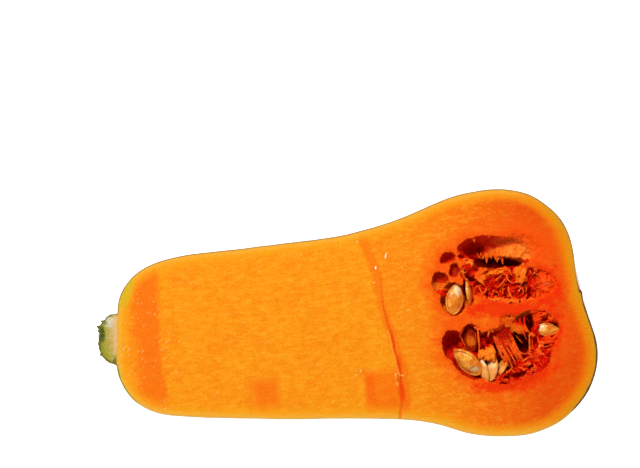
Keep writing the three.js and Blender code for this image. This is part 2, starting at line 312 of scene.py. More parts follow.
def cut_coordinates(node):
    """Place on the object in the frame of the cut, in mm."""
    return node(
        "Mapping",
        {
            "Vector": node("TexCoord", output="Object"),
            "Location": CUT_ORIGIN,
            "Rotation": (0, -LEAN, 0),
            "Scale": (MM, MM, MM),
        },
        vector_type="TEXTURE",
    )


def reach(node, place, centre, size, turn=0):
    """How far a point lies out from a centre on the cut face: 1 on an ellipse of the half sizes."""
    local = node(
        "Mapping",
        {
            "Vector": place,
            "Location": (*centre, 0),
            "Rotation": (0, 0, math.radians(turn)),
            "Scale": (*size, 1000),
        },
        vector_type="TEXTURE",
    )
    return node("VectorMath", {0: local}, "Value", operation="LENGTH")


def rays(node, place, centre, width):
    """Streaks that run out from a centre on the cut face, each of them width radians across."""
    out = node("VectorMath", {0: place, 1: (*centre, 0)}, operation="SUBTRACT")
    angle = node(
        "Math",
        {0: node("SeparateXYZ", {0: out}, "Y"), 1: node("SeparateXYZ", {0: out}, "X")},
        operation="ARCTAN2",
    )
    far = node("VectorMath", {0: out}, "Value", operation="LENGTH")
    polar = node("CombineXYZ", {0: angle, 1: far})
    fine = node("VectorMath", {0: polar, 1: (1 / width, 0.07, 0)}, operation="MULTIPLY")
    return node("TexNoise", {"Vector": fine, "Scale": 1, "Detail": 2})


def tinted(node, ground, layers):
    """Lays tints over a ground colour. A layer is a value, where its tint starts and where it is
    full, how much of it then shows, and its colour."""
    for value, start, full, share, tint in layers:
        mask = node(
            "MapRange",
            {"Value": value, "From Min": start, "From Max": full, "To Max": share},
            interpolation_type="SMOOTHSTEP",
        )
        ground = node("Mix", {0: mask, 6: ground, 7: tint}, 2, data_type="RGBA")
    return ground


def store(mesh, name, values):
    """Keeps one number for each vertex, for the material to read."""
    attribute = mesh.attributes.new(name, "FLOAT", "POINT")
    attribute.data.foreach_set("value", values)


def distance_to(obj, points):
    """Distance in mm from each point to an object's surface."""
    tree = BVHTree.FromObject(obj, bpy.context.evaluated_depsgraph_get())
    return [tree.find_nearest(point)[3] / MM for point in points]


# ---------------------------------------------------------------- body


def outline_point(share, side):
    """Point on one long side of the cut, on a centripetal Catmull-Rom curve through the outline."""
    points = [Vector(pair[side]) for pair in OUTLINE]
    place = share * (len(points) - 1)
    index = min(int(place), len(points) - 2)
    t = place - index
    p1, p2 = points[index], points[index + 1]
    p0 = points[index - 1] if index else p1 * 2 - p2
    p3 = points[index + 2] if index + 2 < len(points) else p2 * 2 - p1
    d0, d1, d2 = (math.sqrt((b - a).length) for a, b in ((p0, p1), (p1, p2), (p2, p3)))
    m1 = ((p1 - p0) / d0 - (p2 - p0) / (d0 + d1) + (p2 - p1) / d1) * d1
    m2 = ((p2 - p1) / d1 - (p3 - p1) / (d1 + d2) + (p3 - p2) / d2) * d1
    return (
        p1
        + m1 * t
        + (3 * (p2 - p1) - 2 * m1 - m2) * t**2
        + (2 * (p1 - p2) + m1 + m2) * t**3
    )


def ring_at(share):
    """Centre, radius and lean of the squash's ring at a share of its length."""
    upper, lower = outline_point(share, 0), outline_point(share, 1)
    across = upper - lower
    centre = (upper + lower) / 2 * MM
    return Vector((*centre, 0)), across.length / 2 * MM, math.atan2(across.x, across.y)


def whole_squash():
    """Ring by ring from the stem end: each new ring is extruded, moved, widened and leant."""
    shares = [i / BODY_RINGS for i in range(1, BODY_RINGS)]
    centre, radius, lean = ring_at(shares[0])
    bpy.ops.mesh.primitive_circle_add(
        vertices=BODY_SIDES, radius=radius, location=centre, rotation=(0, math.pi / 2, -lean)
    )
    body = apply_place(named("flesh_body"))
    mode("EDIT")
    bpy.ops.mesh.select_all(action="SELECT")
    for share in shares[1:]:
        new_centre, new_radius, new_lean = ring_at(share)
        bpy.ops.mesh.extrude_edges_move(TRANSFORM_OT_translate={"value": new_centre - centre})
        grow = new_radius / radius
        bpy.ops.transform.resize(value=(grow, grow, grow), center_override=new_centre)
        bpy.ops.transform.rotate(
            value=new_lean - lean, orient_axis="Z", orient_type="GLOBAL", center_override=new_centre
        )
        centre, radius, lean = new_centre, new_radius, new_lean
    mode("OBJECT")
    close_and_turn_out(body)
    modify(body, "SUBSURF", levels=1, render_levels=1)
    # Its low swells only go inwards, so the squash stays inside its solid.
    return roughen(body, 22, 0.7, middle=1.0)


def blossom_scar():
    """The corky button that the blossom left at the end of the squash's axis."""
    return roughen(ball((214.6, -1.2, 0), (0.75, 3.0, 3.0), steps=SMOOTH), 1.1, 0.5)


def floor_block():
    """Everything under the surface that the half lies on."""
    block = slab(-SLAB[2])
    block.matrix_world = CUT_TO_ROW.inverted()
    return apply_place(block)


# Where the knife stopped and went on: its mark runs across the cut face from rim to rim.
STOP_MARK = [
    (118.0, 36.0),
    (120.4, 29.0),
    (122.6, 21.0),
    (123.3, 14.0),
    (123.2, 8.0),
    (123.4, 2.0),
    (124.2, -4.0),
    (125.3, -8.5),
    (126.4, -13.0),
    (126.5, -17.5),
    (127.5, -21.5),
    (128.0, -26.0),
    (128.9, -29.0),
    (127.9, -31.5),
    (128.3, -36.0),
    (128.0, -41.0),
    (126.9, -45.0),
    (125.8, -48.5),
]


def stop_mark_x(y):
    """Where the stop mark crosses a height on the cut face."""
    for (x1, y1), (x2, y2) in zip(STOP_MARK, STOP_MARK[1:]):
        if y2 <= y <= y1:
            return x1 + (x2 - x1) * (y - y1) / (y2 - y1)
    return STOP_MARK[0][0] if y > 0 else STOP_MARK[-1][0]


def knife_block():
    """What the knife took away: a block whose underside is the cut."""
    bpy.ops.mesh.primitive_grid_add(
        x_subdivisions=CUT_SIZE[0],
        y_subdivisions=CUT_SIZE[1],
        size=1,
        location=Vector(CUT_MIDDLE) * MM,
        scale=Vector((*CUT_SIZE, 1)) * MM,
    )
    block = apply_place(named("knife_block"))
    roughen(block, 9, 0.35)
    roughen(block, 1.6, 0.12)
    return modify(block, "SOLIDIFY", thickness=KNIFE_BLOCK_HEIGHT * MM, offset=1)


# Slivers of flesh that the blade left standing on the mark, as points along each.
SLIVERS = [
    [
        (125.8, -30.2, -0.3),
        (126.4, -29.2, 0.0),
        (127.4, -29.0, 0.1),
        (128.2, -30.0, 0.0),
        (128.3, -31.0, -0.3),
    ],
    [(127.3, -30.6, -0.2), (126.4, -31.2, 0.0), (126.3, -32.4, 0.0), (127.4, -33.6, -0.2)],
    [(126.4, -19.4, -0.3), (126.9, -21.4, 0.0), (126.8, -23.6, 0.0), (127.2, -25.8, -0.3)],
    [(124.9, -9.0, -0.3), (125.4, -11.0, -0.1), (125.7, -13.6, -0.3)],
    [(128.0, -29.4, -0.2), (129.4, -29.8, 0.0), (130.6, -30.0, -0.3)],
    [(126.6, 24.2, -0.3), (126.9, 25.8, 0.1), (127.2, 27.4, -0.3)],
    [(121.6, 20.2, -0.2), (121.9, 21.2, 0.1), (121.8, 21.6, -0.2)],
]


# What runs along the stop mark: its shift across the mark, its height, the first of the mark's points
# that it follows and the one it stops before, and its radius.
MARK_RIDGE = [(-0.7, -0.42, 6, 13, 0.5)]
MARK_GASHES = [(0.2, 0.05, 3, 8, 0.25), (0.3, 0.0, 7, 15, 0.4)]


def along_mark(name, rows):
    """Strands that follow the stop mark."""
    strands = []
    for shift, height, start, end, radius in rows:
        strands.append(([(x + shift, y, height) for x, y in STOP_MARK[start:end]], radius))
    return strands_solid(name, strands, 3)


# The rooms of the two seed cavities, as overlapping ellipsoids: middle, half sizes and turn.
UPPER_POCKETS = [
    ((172.6, 25.0, 0), (12.8, 6.0, 9.0), -2),  # open bowl under the rim
    ((182.8, 24.2, 0), (10.2, 5.0, 5.0), -12),  # its shallow end
    ((186.0, 21.0, 0), (8.0, 4.2, 4.2), -18),  # shallow end of the bowl's shelf
    ((189.0, 22.8, 2.4), (12.0, 8.6, 3.6), -16),  # where it runs out flat
    ((178.8, 17.4, -3), (12.6, 3.0, 10.0), -6),  # slit between shelf and pulp
    ((168.2, 24.4, 0), (6.4, 5.2, 14), -10),  # its deep end, open to the slit
    ((167.2, 19.6, 0), (3.4, 3.2, 13), -30),
    ((162.4, 21.6, 0), (2.6, 1.5, 7), -24),
    ((168.4, 18.6, -2), (3.0, 2.8, 12)),
    ((184.5, 7.0, 0), (20.0, 8.8, 16), -4),  # bed of the pulp
    ((156.4, 3.0, 0), (6.6, 8.0, 10), 8),  # bay of the large seed
    ((163.0, 5.4, 0), (2.6, 7.2, 12), 4),  # bay of the seed on edge
    ((165.0, 14.0, 0), (4.6, 5.6, 10)),  # bay of the torn lump
    ((151.0, 10.8, 0), (4.2, 5.6, 5.4), 10),
    ((155.3, 21.7, 0), (3.9, 3.2, 6), 28),
    ((157.6, 16.0, 0), (2.5, 3.5, 5.5), -14),
    ((150.9, 2.2, 0), (1.3, 2.8, 4), 10),  # crescent beside the large seed
]
LOWER_POCKETS = [
    ((154.4, -18.4, 0), (5.8, 7.6, 11), 6),  # open hollow at the neck side
    ((162.4, -16.4, 0), (5.6, 7.4, 9)),  # socket of the veiled seed
    ((176.5, -25.0, 0), (17.5, 13.2, 18)),  # bed of the pulp
    ((183.0, -11.6, 1.0), (7.8, 6.2, 2.7), -12),  # the membrane's hollow
    ((183.5, -9.7, -2), (0.5, 0.6, 3.0)),
    ((181.0, -7.2, -1), (0.8, 0.6, 2.0)),
    ((192.5, -15.0, 0), (11.4, 9.4, 13), -15),
    ((187.5, -26.0, 0), (11.5, 9.5, 13), 20),
    ((159.6, -26.6, 0), (10.0, 5.6, 10), -52),  # bay of the long seed
]

# Torn fibres on the edge of the bowl's shelf: foot, tip and radius.
SHELF_TEETH = [
    ((170.0, 22.0), (169.9, 20.6), 0.35),
    ((171.8, 22.0), (171.6, 20.0), 0.35),
    ((173.4, 21.8), (173.0, 18.0), 0.5),
    ((175.6, 21.6), (175.2, 19.8), 0.35),
    ((177.4, 21.6), (177.3, 19.0), 0.45),
    ((178.0, 21.4), (177.9, 17.9), 0.4),
    ((178.7, 21.4), (178.7, 18.9), 0.45),
    ((180.2, 21.4), (180.4, 16.7), 0.45),
    ((180.8, 21.2), (180.6, 18.2), 0.4),
    ((182.4, 20.9), (182.2, 19.2), 0.35),
    ((184.4, 20.6), (184.8, 18.4), 0.35),
    ((186.0, 20.4), (186.1, 18.9), 0.35),
]
# The same on the bowl's rim, at the cut.
RIM_TAGS = [
    ((167.8, 30.6), (168.3, 28.0), 0.4),
    ((174.6, 31.6), (175.2, 29.6), 0.35),
    ((182.2, 30.4), (181.4, 28.6), 0.35),
]
# Heights of their feet, necks and tips.
SHELF_TOOTH_HEIGHTS = (-8.4, -6.6, -5.6)
RIM_TAG_HEIGHTS = (-2.6, -0.8, -0.496)


def bowl_fringe():
    """Each tooth has two roots and grows out of its edge to hang over the hollow."""
    strands = []
    for teeth, heights in ((RIM_TAGS, RIM_TAG_HEIGHTS), (SHELF_TEETH, SHELF_TOOTH_HEIGHTS)):
        for (x1, y1), (x2, y2), radius in teeth:
            for side in (-0.6, 0.5):
                places = ((x1 + 1.6 * side, y1 + 1.2), (x1 + side, y1 - 0.4), (x2, y2))
                points = [(x, y, height) for (x, y), height in zip(places, heights)]
                strands.append((points, 0.8 * radius))
    return strands_solid("bowl_fringe", strands)


def pocket_block(name, pockets):
    """The room of one seed cavity, with torn, uneven walls."""
    block = remeshed(merged(name, [ball(*pocket) for pocket in pockets]), 0.45)
    roughen(block, 4.5, 1.4)
    return roughen(block, 1.4, 1.3)


def make_flesh(knife):
    """The half: the whole squash less what the knife took, the floor and the rooms of the seeds."""
    body = whole_squash()
    combine(body, blossom_scar(), "UNION")
    pockets = [pocket_block("upper_room", UPPER_POCKETS), pocket_block("lower_room", LOWER_POCKETS)]
    flesh = duplicate(body, "flesh_and_rind")
    combine(flesh, duplicate(knife), "DIFFERENCE")
    combine(flesh, floor_block(), "DIFFERENCE")
    # The stop mark: a low ridge on its stem side, and the gash that the blade left beside it.
    combine(flesh, along_mark("ridge", MARK_RIDGE), "UNION")
    for sliver in SLIVERS:
        combine(flesh, strands_solid("sliver", [(sliver, 0.3)], 2), "UNION")
    combine(flesh, along_mark("gash", MARK_GASHES), "DIFFERENCE")
    for pocket in pockets:
        combine(flesh, duplicate(pocket), "DIFFERENCE")
    combine(flesh, bowl_fringe(), "UNION")
    points = [vertex.co.copy() for vertex in flesh.data.vertices]
    store(flesh.data, "skin_depth", distance_to(body, points))
    rooms = [distance_to(pocket, points) for pocket in pockets]
    store(flesh.data, "hollow_distance", [min(pair) for pair in zip(*rooms)])
    store(flesh.data, "past_stop_mark", [p.x / MM - stop_mark_x(p.y / MM) for p in points])
    for helper in (body, *pockets):
        bpy.data.objects.remove(helper)
    return lay_down(flesh, "flesh")


# Wetter spots of flesh on the cut face that are a shade redder: middle, half sizes and turn.
RED_SPOTS = [
    ((178, -3.4), (22, 5.4), -4),  # between the two cavities
    ((199, 4.5), (9, 13), 8),  # where the upper pulp runs out
    ((200, -14), (7, 12), 0),
    ((190, -35), (14, 6), 28),
    ((172, -39), (14, 3.4), 0),
    ((166.6, -2.6), (4.4, 2.2), 8),
]
# Painted shade on the hollows' walls: redder and darker where they lie in shadow, and near black down
# the slit. Colour, middle, half sizes and turn.
SHADED_LINING_SPOTS = [
    ("#EE2C0C", (169, 27.6), (15, 4.2)),
    ("#F05A18", (184.0, 27.4), (8.4, 2.8)),
    ("#B81604", (170.0, 23.4), (4.6, 2.0), 8),
    ("#D81406", (164.5, 22.6), (5.0, 4.0)),
    ("#D81406", (166.5, 10.4), (5.0, 8.0)),
    ("#D81406", (152.6, -18), (7.4, 11)),
    ("#B41004", (156.0, -27), (4.4, 5.6)),
    ("#B41004", (160.4, -33), (6.4, 3.0)),
    ("#CC1604", (162.4, -14.6), (5.8, 6.8)),
    ("#C41404", (151, 14.0), (5, 3.4)),
    ("#D01404", (154.6, 22.2), (5, 2.8)),
    ("#B00C04", (157.6, 16.2), (2.6, 3.6)),
    ("#5A0602", (177.6, 17.2), (11.4, 3.0), -6),
]
# Painted highlights on the cut: small pale spots where moist beads and the slivers catch the light.
# Colour, middle, half sizes and turn.
CUT_GLINTS = [
    ("#FFF0DC", (126.9, 25.8), (1.6, 0.34), 75),
    ("#FFF4E4", (121.8, 20.8), (0.9, 0.4), 80),
    ("#FFD8A8", (120.5, 14.0), (0.35, 0.35)),
    ("#FFC078", (134.8, 0.0), (0.7, 0.25), 40),
    ("#FFC890", (110.4, -25.7), (0.7, 0.25), 60),
    ("#FFC890", (108.2, -27.5), (0.4, 0.25), 60),
    ("#FFC070", (133.8, 19.7), (0.4, 0.25), 50),
    ("#FFD8A8", (114.4, 33.6), (0.35, 0.3)),
    ("#FFB060", (126.3, -29.4), (0.4, 1.5), -12),
    ("#FFAC5C", (129.3, -29.8), (1.2, 0.35), -20),
    ("#FFA850", (126.6, -33.2), (0.5, 1.0), 10),
]


def soft_square(node, place, centre, size):
    """Like reach, but 1 on a rectangle of the half sizes."""
    local = node(
        "Mapping",
        {"Vector": place, "Location": (*centre, 0), "Scale": (*size, 1000)},
        vector_type="TEXTURE",
    )
    sides = node("VectorMath", {0: local}, operation="ABSOLUTE")
    across = node("SeparateXYZ", {0: sides}, "Y")
    return node("Math", {0: node("SeparateXYZ", {0: sides}, "X"), 1: across}, operation="SMOOTH_MAX")


def flesh_patterns(node):
    """What the colours of the flesh follow: places and distances in mm, and noises, each by its name."""
    place = cut_coordinates(node)
    drawn_out = node("VectorMath", {0: place, 1: (0.3, 1, 1)}, operation="MULTIPLY")
    cut = SimpleNamespace(
        place=place,
        spot=partial(reach, node, place),
        along=node("SeparateXYZ", {0: place}, "X"),
        across=node("SeparateXYZ", {0: place}, "Y"),
        height=node("SeparateXYZ", {0: place}, "Z"),
        skin=node("Attribute", attribute_name="skin_depth", output="Fac"),
        hollow=node("Attribute", attribute_name="hollow_distance", output="Fac"),
        past_mark=node("Attribute", attribute_name="past_stop_mark", output="Fac"),
        blotch=node("TexNoise", {"Vector": place, "Scale": 1 / 16, "Detail": 4, "Roughness": 0.6}),
        mottle=node("TexNoise", {"Vector": place, "Scale": 1 / 3.5, "Detail": 3, "Roughness": 0.6}),
        grain=node("TexNoise", {"Vector": place, "Scale": 1 / 0.9, "Detail": 2}),
        pores=node("TexVoronoi", {"Vector": place, "Scale": 1 / 2.6}),
        strokes=node("TexNoise", {"Vector": drawn_out, "Scale": 1 / 1.8, "Detail": 3, "Roughness": 0.6}),
    )
    wander = node("Math", {0: cut.blotch, 1: 7.0}, operation="MULTIPLY")
    cut.worn = node("Math", {0: cut.mottle, 1: 3.6, 2: wander}, operation="MULTIPLY_ADD")
    cut.torn_mark = node("Math", {0: cut.mottle, 1: 1.8, 2: cut.past_mark}, operation="MULTIPLY_ADD")
    # Torn ends of the fibres that run up to the stem, slanting across the cut, lie below 0.
    slant = node(
        "Mapping",
        {"Vector": place, "Rotation": (0, 0, math.radians(42)), "Scale": (4.2, 1.2, 3.4)},
        vector_type="TEXTURE",
    )
    torn_end = node("TexVoronoi", {"Vector": slant, "Scale": 1})
    torn_end = node("Math", {0: cut.along, 1: 0.0032, 2: torn_end}, operation="MULTIPLY_ADD")
    cut.torn_end = node("Math", {0: cut.blotch, 1: -0.5, 2: torn_end}, operation="MULTIPLY_ADD")
    return cut


def neck_and_bulb(node, cut):
    """Orange in the neck, redder in the bulb, in a band by the stem and beside the stop mark, and
    darker at the blossom end, partly as painted shade.
    """
    from_stem = node("Math", {0: cut.along, 1: cut.worn}, operation="ADD")
    before_band = node("Math", {0: from_stem, 1: -0.12, 2: 0.9}, operation="MULTIPLY_ADD")
    before_band = node("Math", {0: cut.blotch, 1: 2.4, 2: before_band}, operation="MULTIPLY_ADD")
    after_band = node("Math", {0: from_stem, 1: 0.26, 2: -6.7}, operation="MULTIPLY_ADD")
    after_band = node("Math", {0: cut.grain, 1: 0.9, 2: after_band}, operation="MULTIPLY_ADD")
    stem_band = node("Math", {0: before_band, 1: after_band}, operation="MAXIMUM")
    mark_band = node("Math", {0: cut.across, 1: 0.055, 2: cut.past_mark}, operation="MULTIPLY_ADD")
    mark_band = node("Math", {0: mark_band}, operation="ABSOLUTE")
    mark_band = node("Math", {0: cut.worn, 1: 0.3, 2: mark_band}, operation="MULTIPLY_ADD")
    square = partial(soft_square, node, cut.place)
    return tinted(
        node,
        "#F0920E",
        [
            (cut.torn_mark, 0.4, 1.9, 0.6, "#EE7E0A"),
            # Redder along the bulb and darker at the blossom end, here and in the layer from 156 to 202
            # mm: partly the flesh's own colour, partly painted shade where the light falls off towards
            # that end.
            (cut.along, 128, 172, 0.9, "#EE6206"),
            (cut.along, 172, 208, 0.95, "#DA4002"),
            (cut.blotch, 0.46, 0.60, 0.45, "#EE800A"),
            (cut.mottle, 0.50, 0.62, 0.3, "#F6A020"),
            (cut.mottle, 0.50, 0.38, 0.3, "#E87808"),
            (cut.grain, 0.52, 0.66, 0.25, "#F8AC30"),
            (cut.strokes, 0.52, 0.66, 0.35, "#F8AA2C"),
            (cut.grain, 0.48, 0.34, 0.22, "#E67206"),
            (cut.strokes, 0.48, 0.34, 0.3, "#EA7406"),
            (cut.pores, 0.30, 0.10, 0.25, "#F8B040"),
            (cut.along, 156, 202, 0.75, "#E04404"),
            (stem_band, 1.0, 0.0, 0.74, "#EE660C"),
            (square((64.8, -32.4), (7.8, 8.6)), 1.2, 0.75, 0.45, "#EE740C"),
            (square((66.4, -31.8), (4.8, 5.6)), 1.3, 0.6, 0.5, "#EE640A"),
            (square((120.2, -38.0), (8.6, 11.0)), 1.3, 0.75, 0.62, "#F06206"),
            (square((114.2, -33.5), (1.8, 6.0)), 1.5, 0.6, 0.4, "#F05004"),
            (mark_band, 5.0, 2.4, 0.55, "#EE6206"),
        ],
    )


def towards_the_rind(node, cut, ground):
    """Paler and yellower under the rind, and ochre on the blossom end's rim."""
    under_rind = node("Math", {0: cut.worn, 1: -0.28, 2: cut.skin}, operation="MULTIPLY_ADD")
    near_end = node(
        "MapRange",
        {"Value": cut.along, "From Min": 184, "From Max": 204, "To Min": 6, "To Max": 0},
    )
    far_rim = node("Math", {0: under_rind, 1: near_end}, operation="ADD")
    return tinted(
        node,
        ground,
        [
            (under_rind, 5.6, 0.6, 0.7, "#EE9E16"),
            (under_rind, 1.8, -0.6, 0.75, "#E8B43C"),
            (far_rim, 8.0, 1.6, 0.55, "#E87A04"),
            (far_rim, 3.4, -0.8, 0.75, "#D08C08"),
            (cut.spot((3.8, 21.6), (6.2, 12.4), -28), 1.15, 0.55, 0.8, "#CCB01C"),
        ],
    )


def towards_the_hollows(node, cut, ground):
    """Redder round the seed cavities, in streaks that run out from them and in wet spots."""
    near = node("Math", {0: cut.mottle, 1: 6.0, 2: cut.hollow}, operation="MULTIPLY_ADD")
    streak = rays(node, cut.place, (178, -22), 0.05)
    streak = node("Math", {0: cut.hollow, 1: -0.022, 2: streak}, operation="MULTIPLY_ADD")
    layers = [
        (near, 12, 4.4, 0.6, "#F0580A"),
        (near, 5.6, 3.0, 0.5, "#EE4406"),
        (streak, 0.42, 0.60, 0.42, "#EA4A04"),
    ]
    for spot in RED_SPOTS:
        ragged = node("Math", {0: cut.mottle, 1: 2.0, 2: cut.spot(*spot)}, operation="MULTIPLY_ADD")
        layers.append((ragged, 2.15, 1.4, 0.85, "#E82C02"))
    return tinted(node, ground, layers)


def marks_of_the_knife(node, cut, ground):
    """Along the stop mark: red streaks in its gash and a red line below its step, painted shade; a pale
    line on its ridge, a painted highlight; and pale torn fibres on the cut.
    """
    lines = []
    # How far a line runs past the stop mark, and where along the mark it fades in or out.
    for shift, fades in ((0.1, ((-10, -4, 1.0), (-29, -31, 1.0))), (1.2, ((-6, 22, 0.8),))):
        line = node("Math", {0: cut.torn_mark, 1: shift}, operation="SUBTRACT")
        line = node("Math", {0: line}, operation="ABSOLUTE")
        for start, full, share in fades:
            fade = {"Value": cut.across, "From Min": start, "From Max": full, "To Max": share}
            line = node("Math", {0: line, 1: node("MapRange", fade)}, operation="ADD")
        lines.append(line)
    ridge_highlight, step_shade_line = lines
    return tinted(
        node,
        ground,
        [
            # Painted shade: redder streaks in the gash along the mark.
            (cut.spot((128.3, -37.2), (1.9, 5.6), 2), 1.2, 0.4, 0.75, "#EC3A04"),
            (cut.spot((128.2, -24.4), (1.5, 5.2), -8), 1.2, 0.4, 0.6, "#EC4004"),
            (cut.spot((126.6, -13.6), (0.9, 4.4), 4), 1.2, 0.4, 0.6, "#EC4004"),
            # A painted highlight on the ridge, then painted shade in a red line below the step past the
            # mark.
            (ridge_highlight, 0.6, 0.15, 0.5, "#FFA444"),
            (step_shade_line, 1.0, 0.3, 0.55, "#E04404"),
            (cut.spot((127.4, -31.6), (0.4, 1.2), 14), 1.2, 0.4, 0.7, "#B43804"),
            (cut.spot((126.6, -30.4), (0.8, 0.3), -30), 1.2, 0.4, 0.6, "#B84004"),
            (cut.torn_end, 0.0, -0.1, 0.7, "#FFB468"),
        ]
        + [(cut.spot(*fleck), 1.2, 0.5, 0.9, colour) for colour, *fleck in CUT_GLINTS],
    )


def lining_of_the_hollows(node, cut):
    """Orange near the cut and in fine grooves, lighter orange painted on walls that face the lamp, and
    painted shade: redder where the walls lie in shadow and dark red far down.
    """
    grooves = rays(node, cut.place, (177, 6), 0.035)
    return tinted(
        node,
        "#F06A12",
        [
            # Painted light and shade: lighter orange on the bowl's shelf and on walls that face the
            # lamp, and in the membrane's hollow, redder on its shaded side and lighter on its lit side.
            (cut.spot((188.0, 21.4), (10.5, 5.4), -14), 1.15, 0.6, 0.9, "#F6882A"),
            (cut.spot((174.0, 22.4), (7.0, 1.8), 2), 1.2, 0.7, 0.7, "#F07818"),
            (cut.spot((151.0, 9.0), (4.4, 3.4), 0), 1.2, 0.7, 0.7, "#F07818"),
            (cut.spot((180.6, -10.8), (4.8, 5.4), -10), 1.2, 0.6, 0.85, "#E24C06"),
            (cut.spot((186.0, -10.6), (3.0, 5.4), -10), 1.2, 0.6, 0.85, "#F07420"),
            (grooves, 0.50, 0.60, 0.55, "#CC3804"),
            (cut.mottle, 0.45, 0.62, 0.4, "#F07A18"),
            (cut.mottle, 0.50, 0.38, 0.5, "#EE5408"),
            # Painted shade: dark red far down in the hollows.
            (cut.height, -7.5, -9.5, 1.0, "#A01004"),
        ]
        + [(cut.spot(*where), 1.1, 0.75, 0.9, colour) for colour, *where in SHADED_LINING_SPOTS],
    )


def edge_of_the_rind(node, cut):
    """The rind's cut edge, green by the stem and grey-brown beyond, with painted shade: darker on the
    upper side and near black at the blossom end, where the rind seen edge-on lies in shadow. Where it
    shows: a thin line, thicker at the blossom end, and nothing where the stem grows into the flesh."""
    edge = tinted(
        node,
        "#C8A868",
        [
            # Painted shade: darker on the upper side, and near black at the blossom end.
            (cut.across, -8.0, 8.0, 0.9, "#8A7048"),
            (cut.spot((0, -20), (9, 14)), 1.2, 0.8, 1.0, "#6A8A24"),
            (cut.spot((214, -27), (14, 32)), 1.1, 0.9, 0.9, "#3C2C20"),
        ],
    )
    depth = cut.skin
    # The line is drawn thicker at the blossom end, to widen the painted shade there.
    stem_foot, far_side = cut.spot((0, 0), (3.5, 11.6)), cut.spot((214, -32), (14, 32))
    under_stem = {"Value": stem_foot, "From Min": 1.1, "From Max": 0.9, "To Max": 2.0}
    thicker = {"Value": far_side, "From Min": 1.2, "From Max": 0.8, "To Max": 0.28}
    for change, operation in ((under_stem, "ADD"), (thicker, "SUBTRACT")):
        depth = node("Math", {0: depth, 1: node("MapRange", change)}, operation=operation)
    shows = {"Value": depth, "From Min": 0.8, "From Max": 0.15}
    return edge, node("MapRange", shows, interpolation_type="SMOOTHSTEP")


def flesh_material():
    """Raw squash flesh, cut with a knife: moist, dense and slightly see-through, so light softens in
    it. Yellow just under the rind, orange in the neck and redder towards the seed cavities. Light and
    shade are also painted into it: on the hollows' walls, along the stop mark, on the rind's edge and
    towards the blossom end."""
    material, shader, node = new_material(
        "raw_squash_flesh_knife_cut",
        Roughness=0.45,
        IOR=1.38,
        Specular_IOR_Level=0.05,
        Subsurface_Weight=0.2,
        Subsurface_Radius=(1.0, 0.3, 0.06),
        Subsurface_Scale=0.003,
    )
    cut = flesh_patterns(node)
    ground = neck_and_bulb(node, cut)
    for change in (towards_the_rind, towards_the_hollows, marks_of_the_knife):
        ground = change(node, cut, ground)
    in_hollow = {"Value": cut.hollow, "From Min": 0.3, "From Max": 0.05}
    in_hollow = node("MapRange", in_hollow, interpolation_type="SMOOTHSTEP")
    below_cut = node("MapRange", {"Value": cut.height, "From Min": -0.3, "From Max": -1.8})
    in_hollow = node("Math", {0: in_hollow, 1: below_cut}, operation="MULTIPLY")
    lining = lining_of_the_hollows(node, cut)
    colour = node("Mix", {0: in_hollow, 6: ground, 7: lining}, 2, data_type="RGBA")
    edge, on_edge = edge_of_the_rind(node, cut)
    plug(node("Mix", {0: on_edge, 6: colour, 7: edge}, 2, data_type="RGBA"), shader, "Base Color")

    relief = node("Math", {0: cut.mottle, 1: 0.5, 2: cut.grain}, operation="MULTIPLY_ADD")
    raised = node("MapRange", {"Value": cut.torn_end, "From Min": 0.0, "From Max": -0.12, "To Max": 0.3})
    relief = node("Math", {0: relief, 1: raised}, operation="ADD")
    plug(node("Bump", {"Height": relief, "Distance": 0.3 * MM}), shader, "Normal")
    return material


def rind_material():
    """Butternut rind: thin, hard and waxy, tan with faint long streaks and a matt bloom."""
    material, shader, node = new_material("waxy_butternut_rind", Roughness=0.45, IOR=1.45)
    place = cut_coordinates(node)
    long_place = node("VectorMath", {0: place, 1: (0.12, 1, 1)}, operation="MULTIPLY")
    streaks = node("TexNoise", {"Vector": long_place, "Scale": 1 / 6, "Detail": 4, "Roughness": 0.6})
    blotch = node("TexNoise", {"Vector": place, "Scale": 1 / 24, "Detail": 3})
    specks = node("TexNoise", {"Vector": place, "Scale": 1 / 1.8, "Detail": 2})
    along = node("SeparateXYZ", {0: place}, "X")
    by_stem = node("Math", {0: streaks, 1: 34, 2: along}, operation="MULTIPLY_ADD")
    from_blossom = node("VectorMath", {0: place, 1: (215.2, -1.4, 0)}, "Value", operation="DISTANCE")
    from_blossom = node("Math", {0: specks, 1: 1.6, 2: from_blossom}, operation="MULTIPLY_ADD")
    colour = tinted(
        node,
        "#CF9A62",
        [
            (streaks, 0.35, 0.7, 1.0, "#DDB280"),
            (blotch, 0.4, 0.7, 0.5, "#D58F5C"),
            (specks, 0.62, 0.72, 0.35, "#EBCFA6"),
            (by_stem, 36, 14, 0.9, "#A39C54"),
            (from_blossom, 7.5, 3.6, 0.6, "#B8824C"),
            (from_blossom, 3.9, 3.2, 0.9, "#6E4C2C"),
        ],
    )
    plug(colour, shader, "Base Color")
    relief = node("Math", {0: specks, 1: 0.3, 2: streaks}, operation="MULTIPLY_ADD")
    plug(node("Bump", {"Height": relief, "Distance": 0.3 * MM}), shader, "Normal")
    return material


def paint_flesh(flesh):
    """Flesh all over, and rind on the faces that lie on the squash's skin and don't face up."""
    mesh = dressed(flesh, flesh_material()).data
    mesh.materials.append(rind_material())
    depth = [item.value for item in mesh.attributes["skin_depth"].data]
    for face in mesh.polygons:
        on_skin = all(depth[index] < SKIN_TOLERANCE for index in face.vertices)
        face.material_index = int(on_skin and face.normal.z < FACING_UP)


knife = knife_block()
flesh = make_flesh(knife)
paint_flesh(flesh)

# ---------------------------------------------------------------- seeds

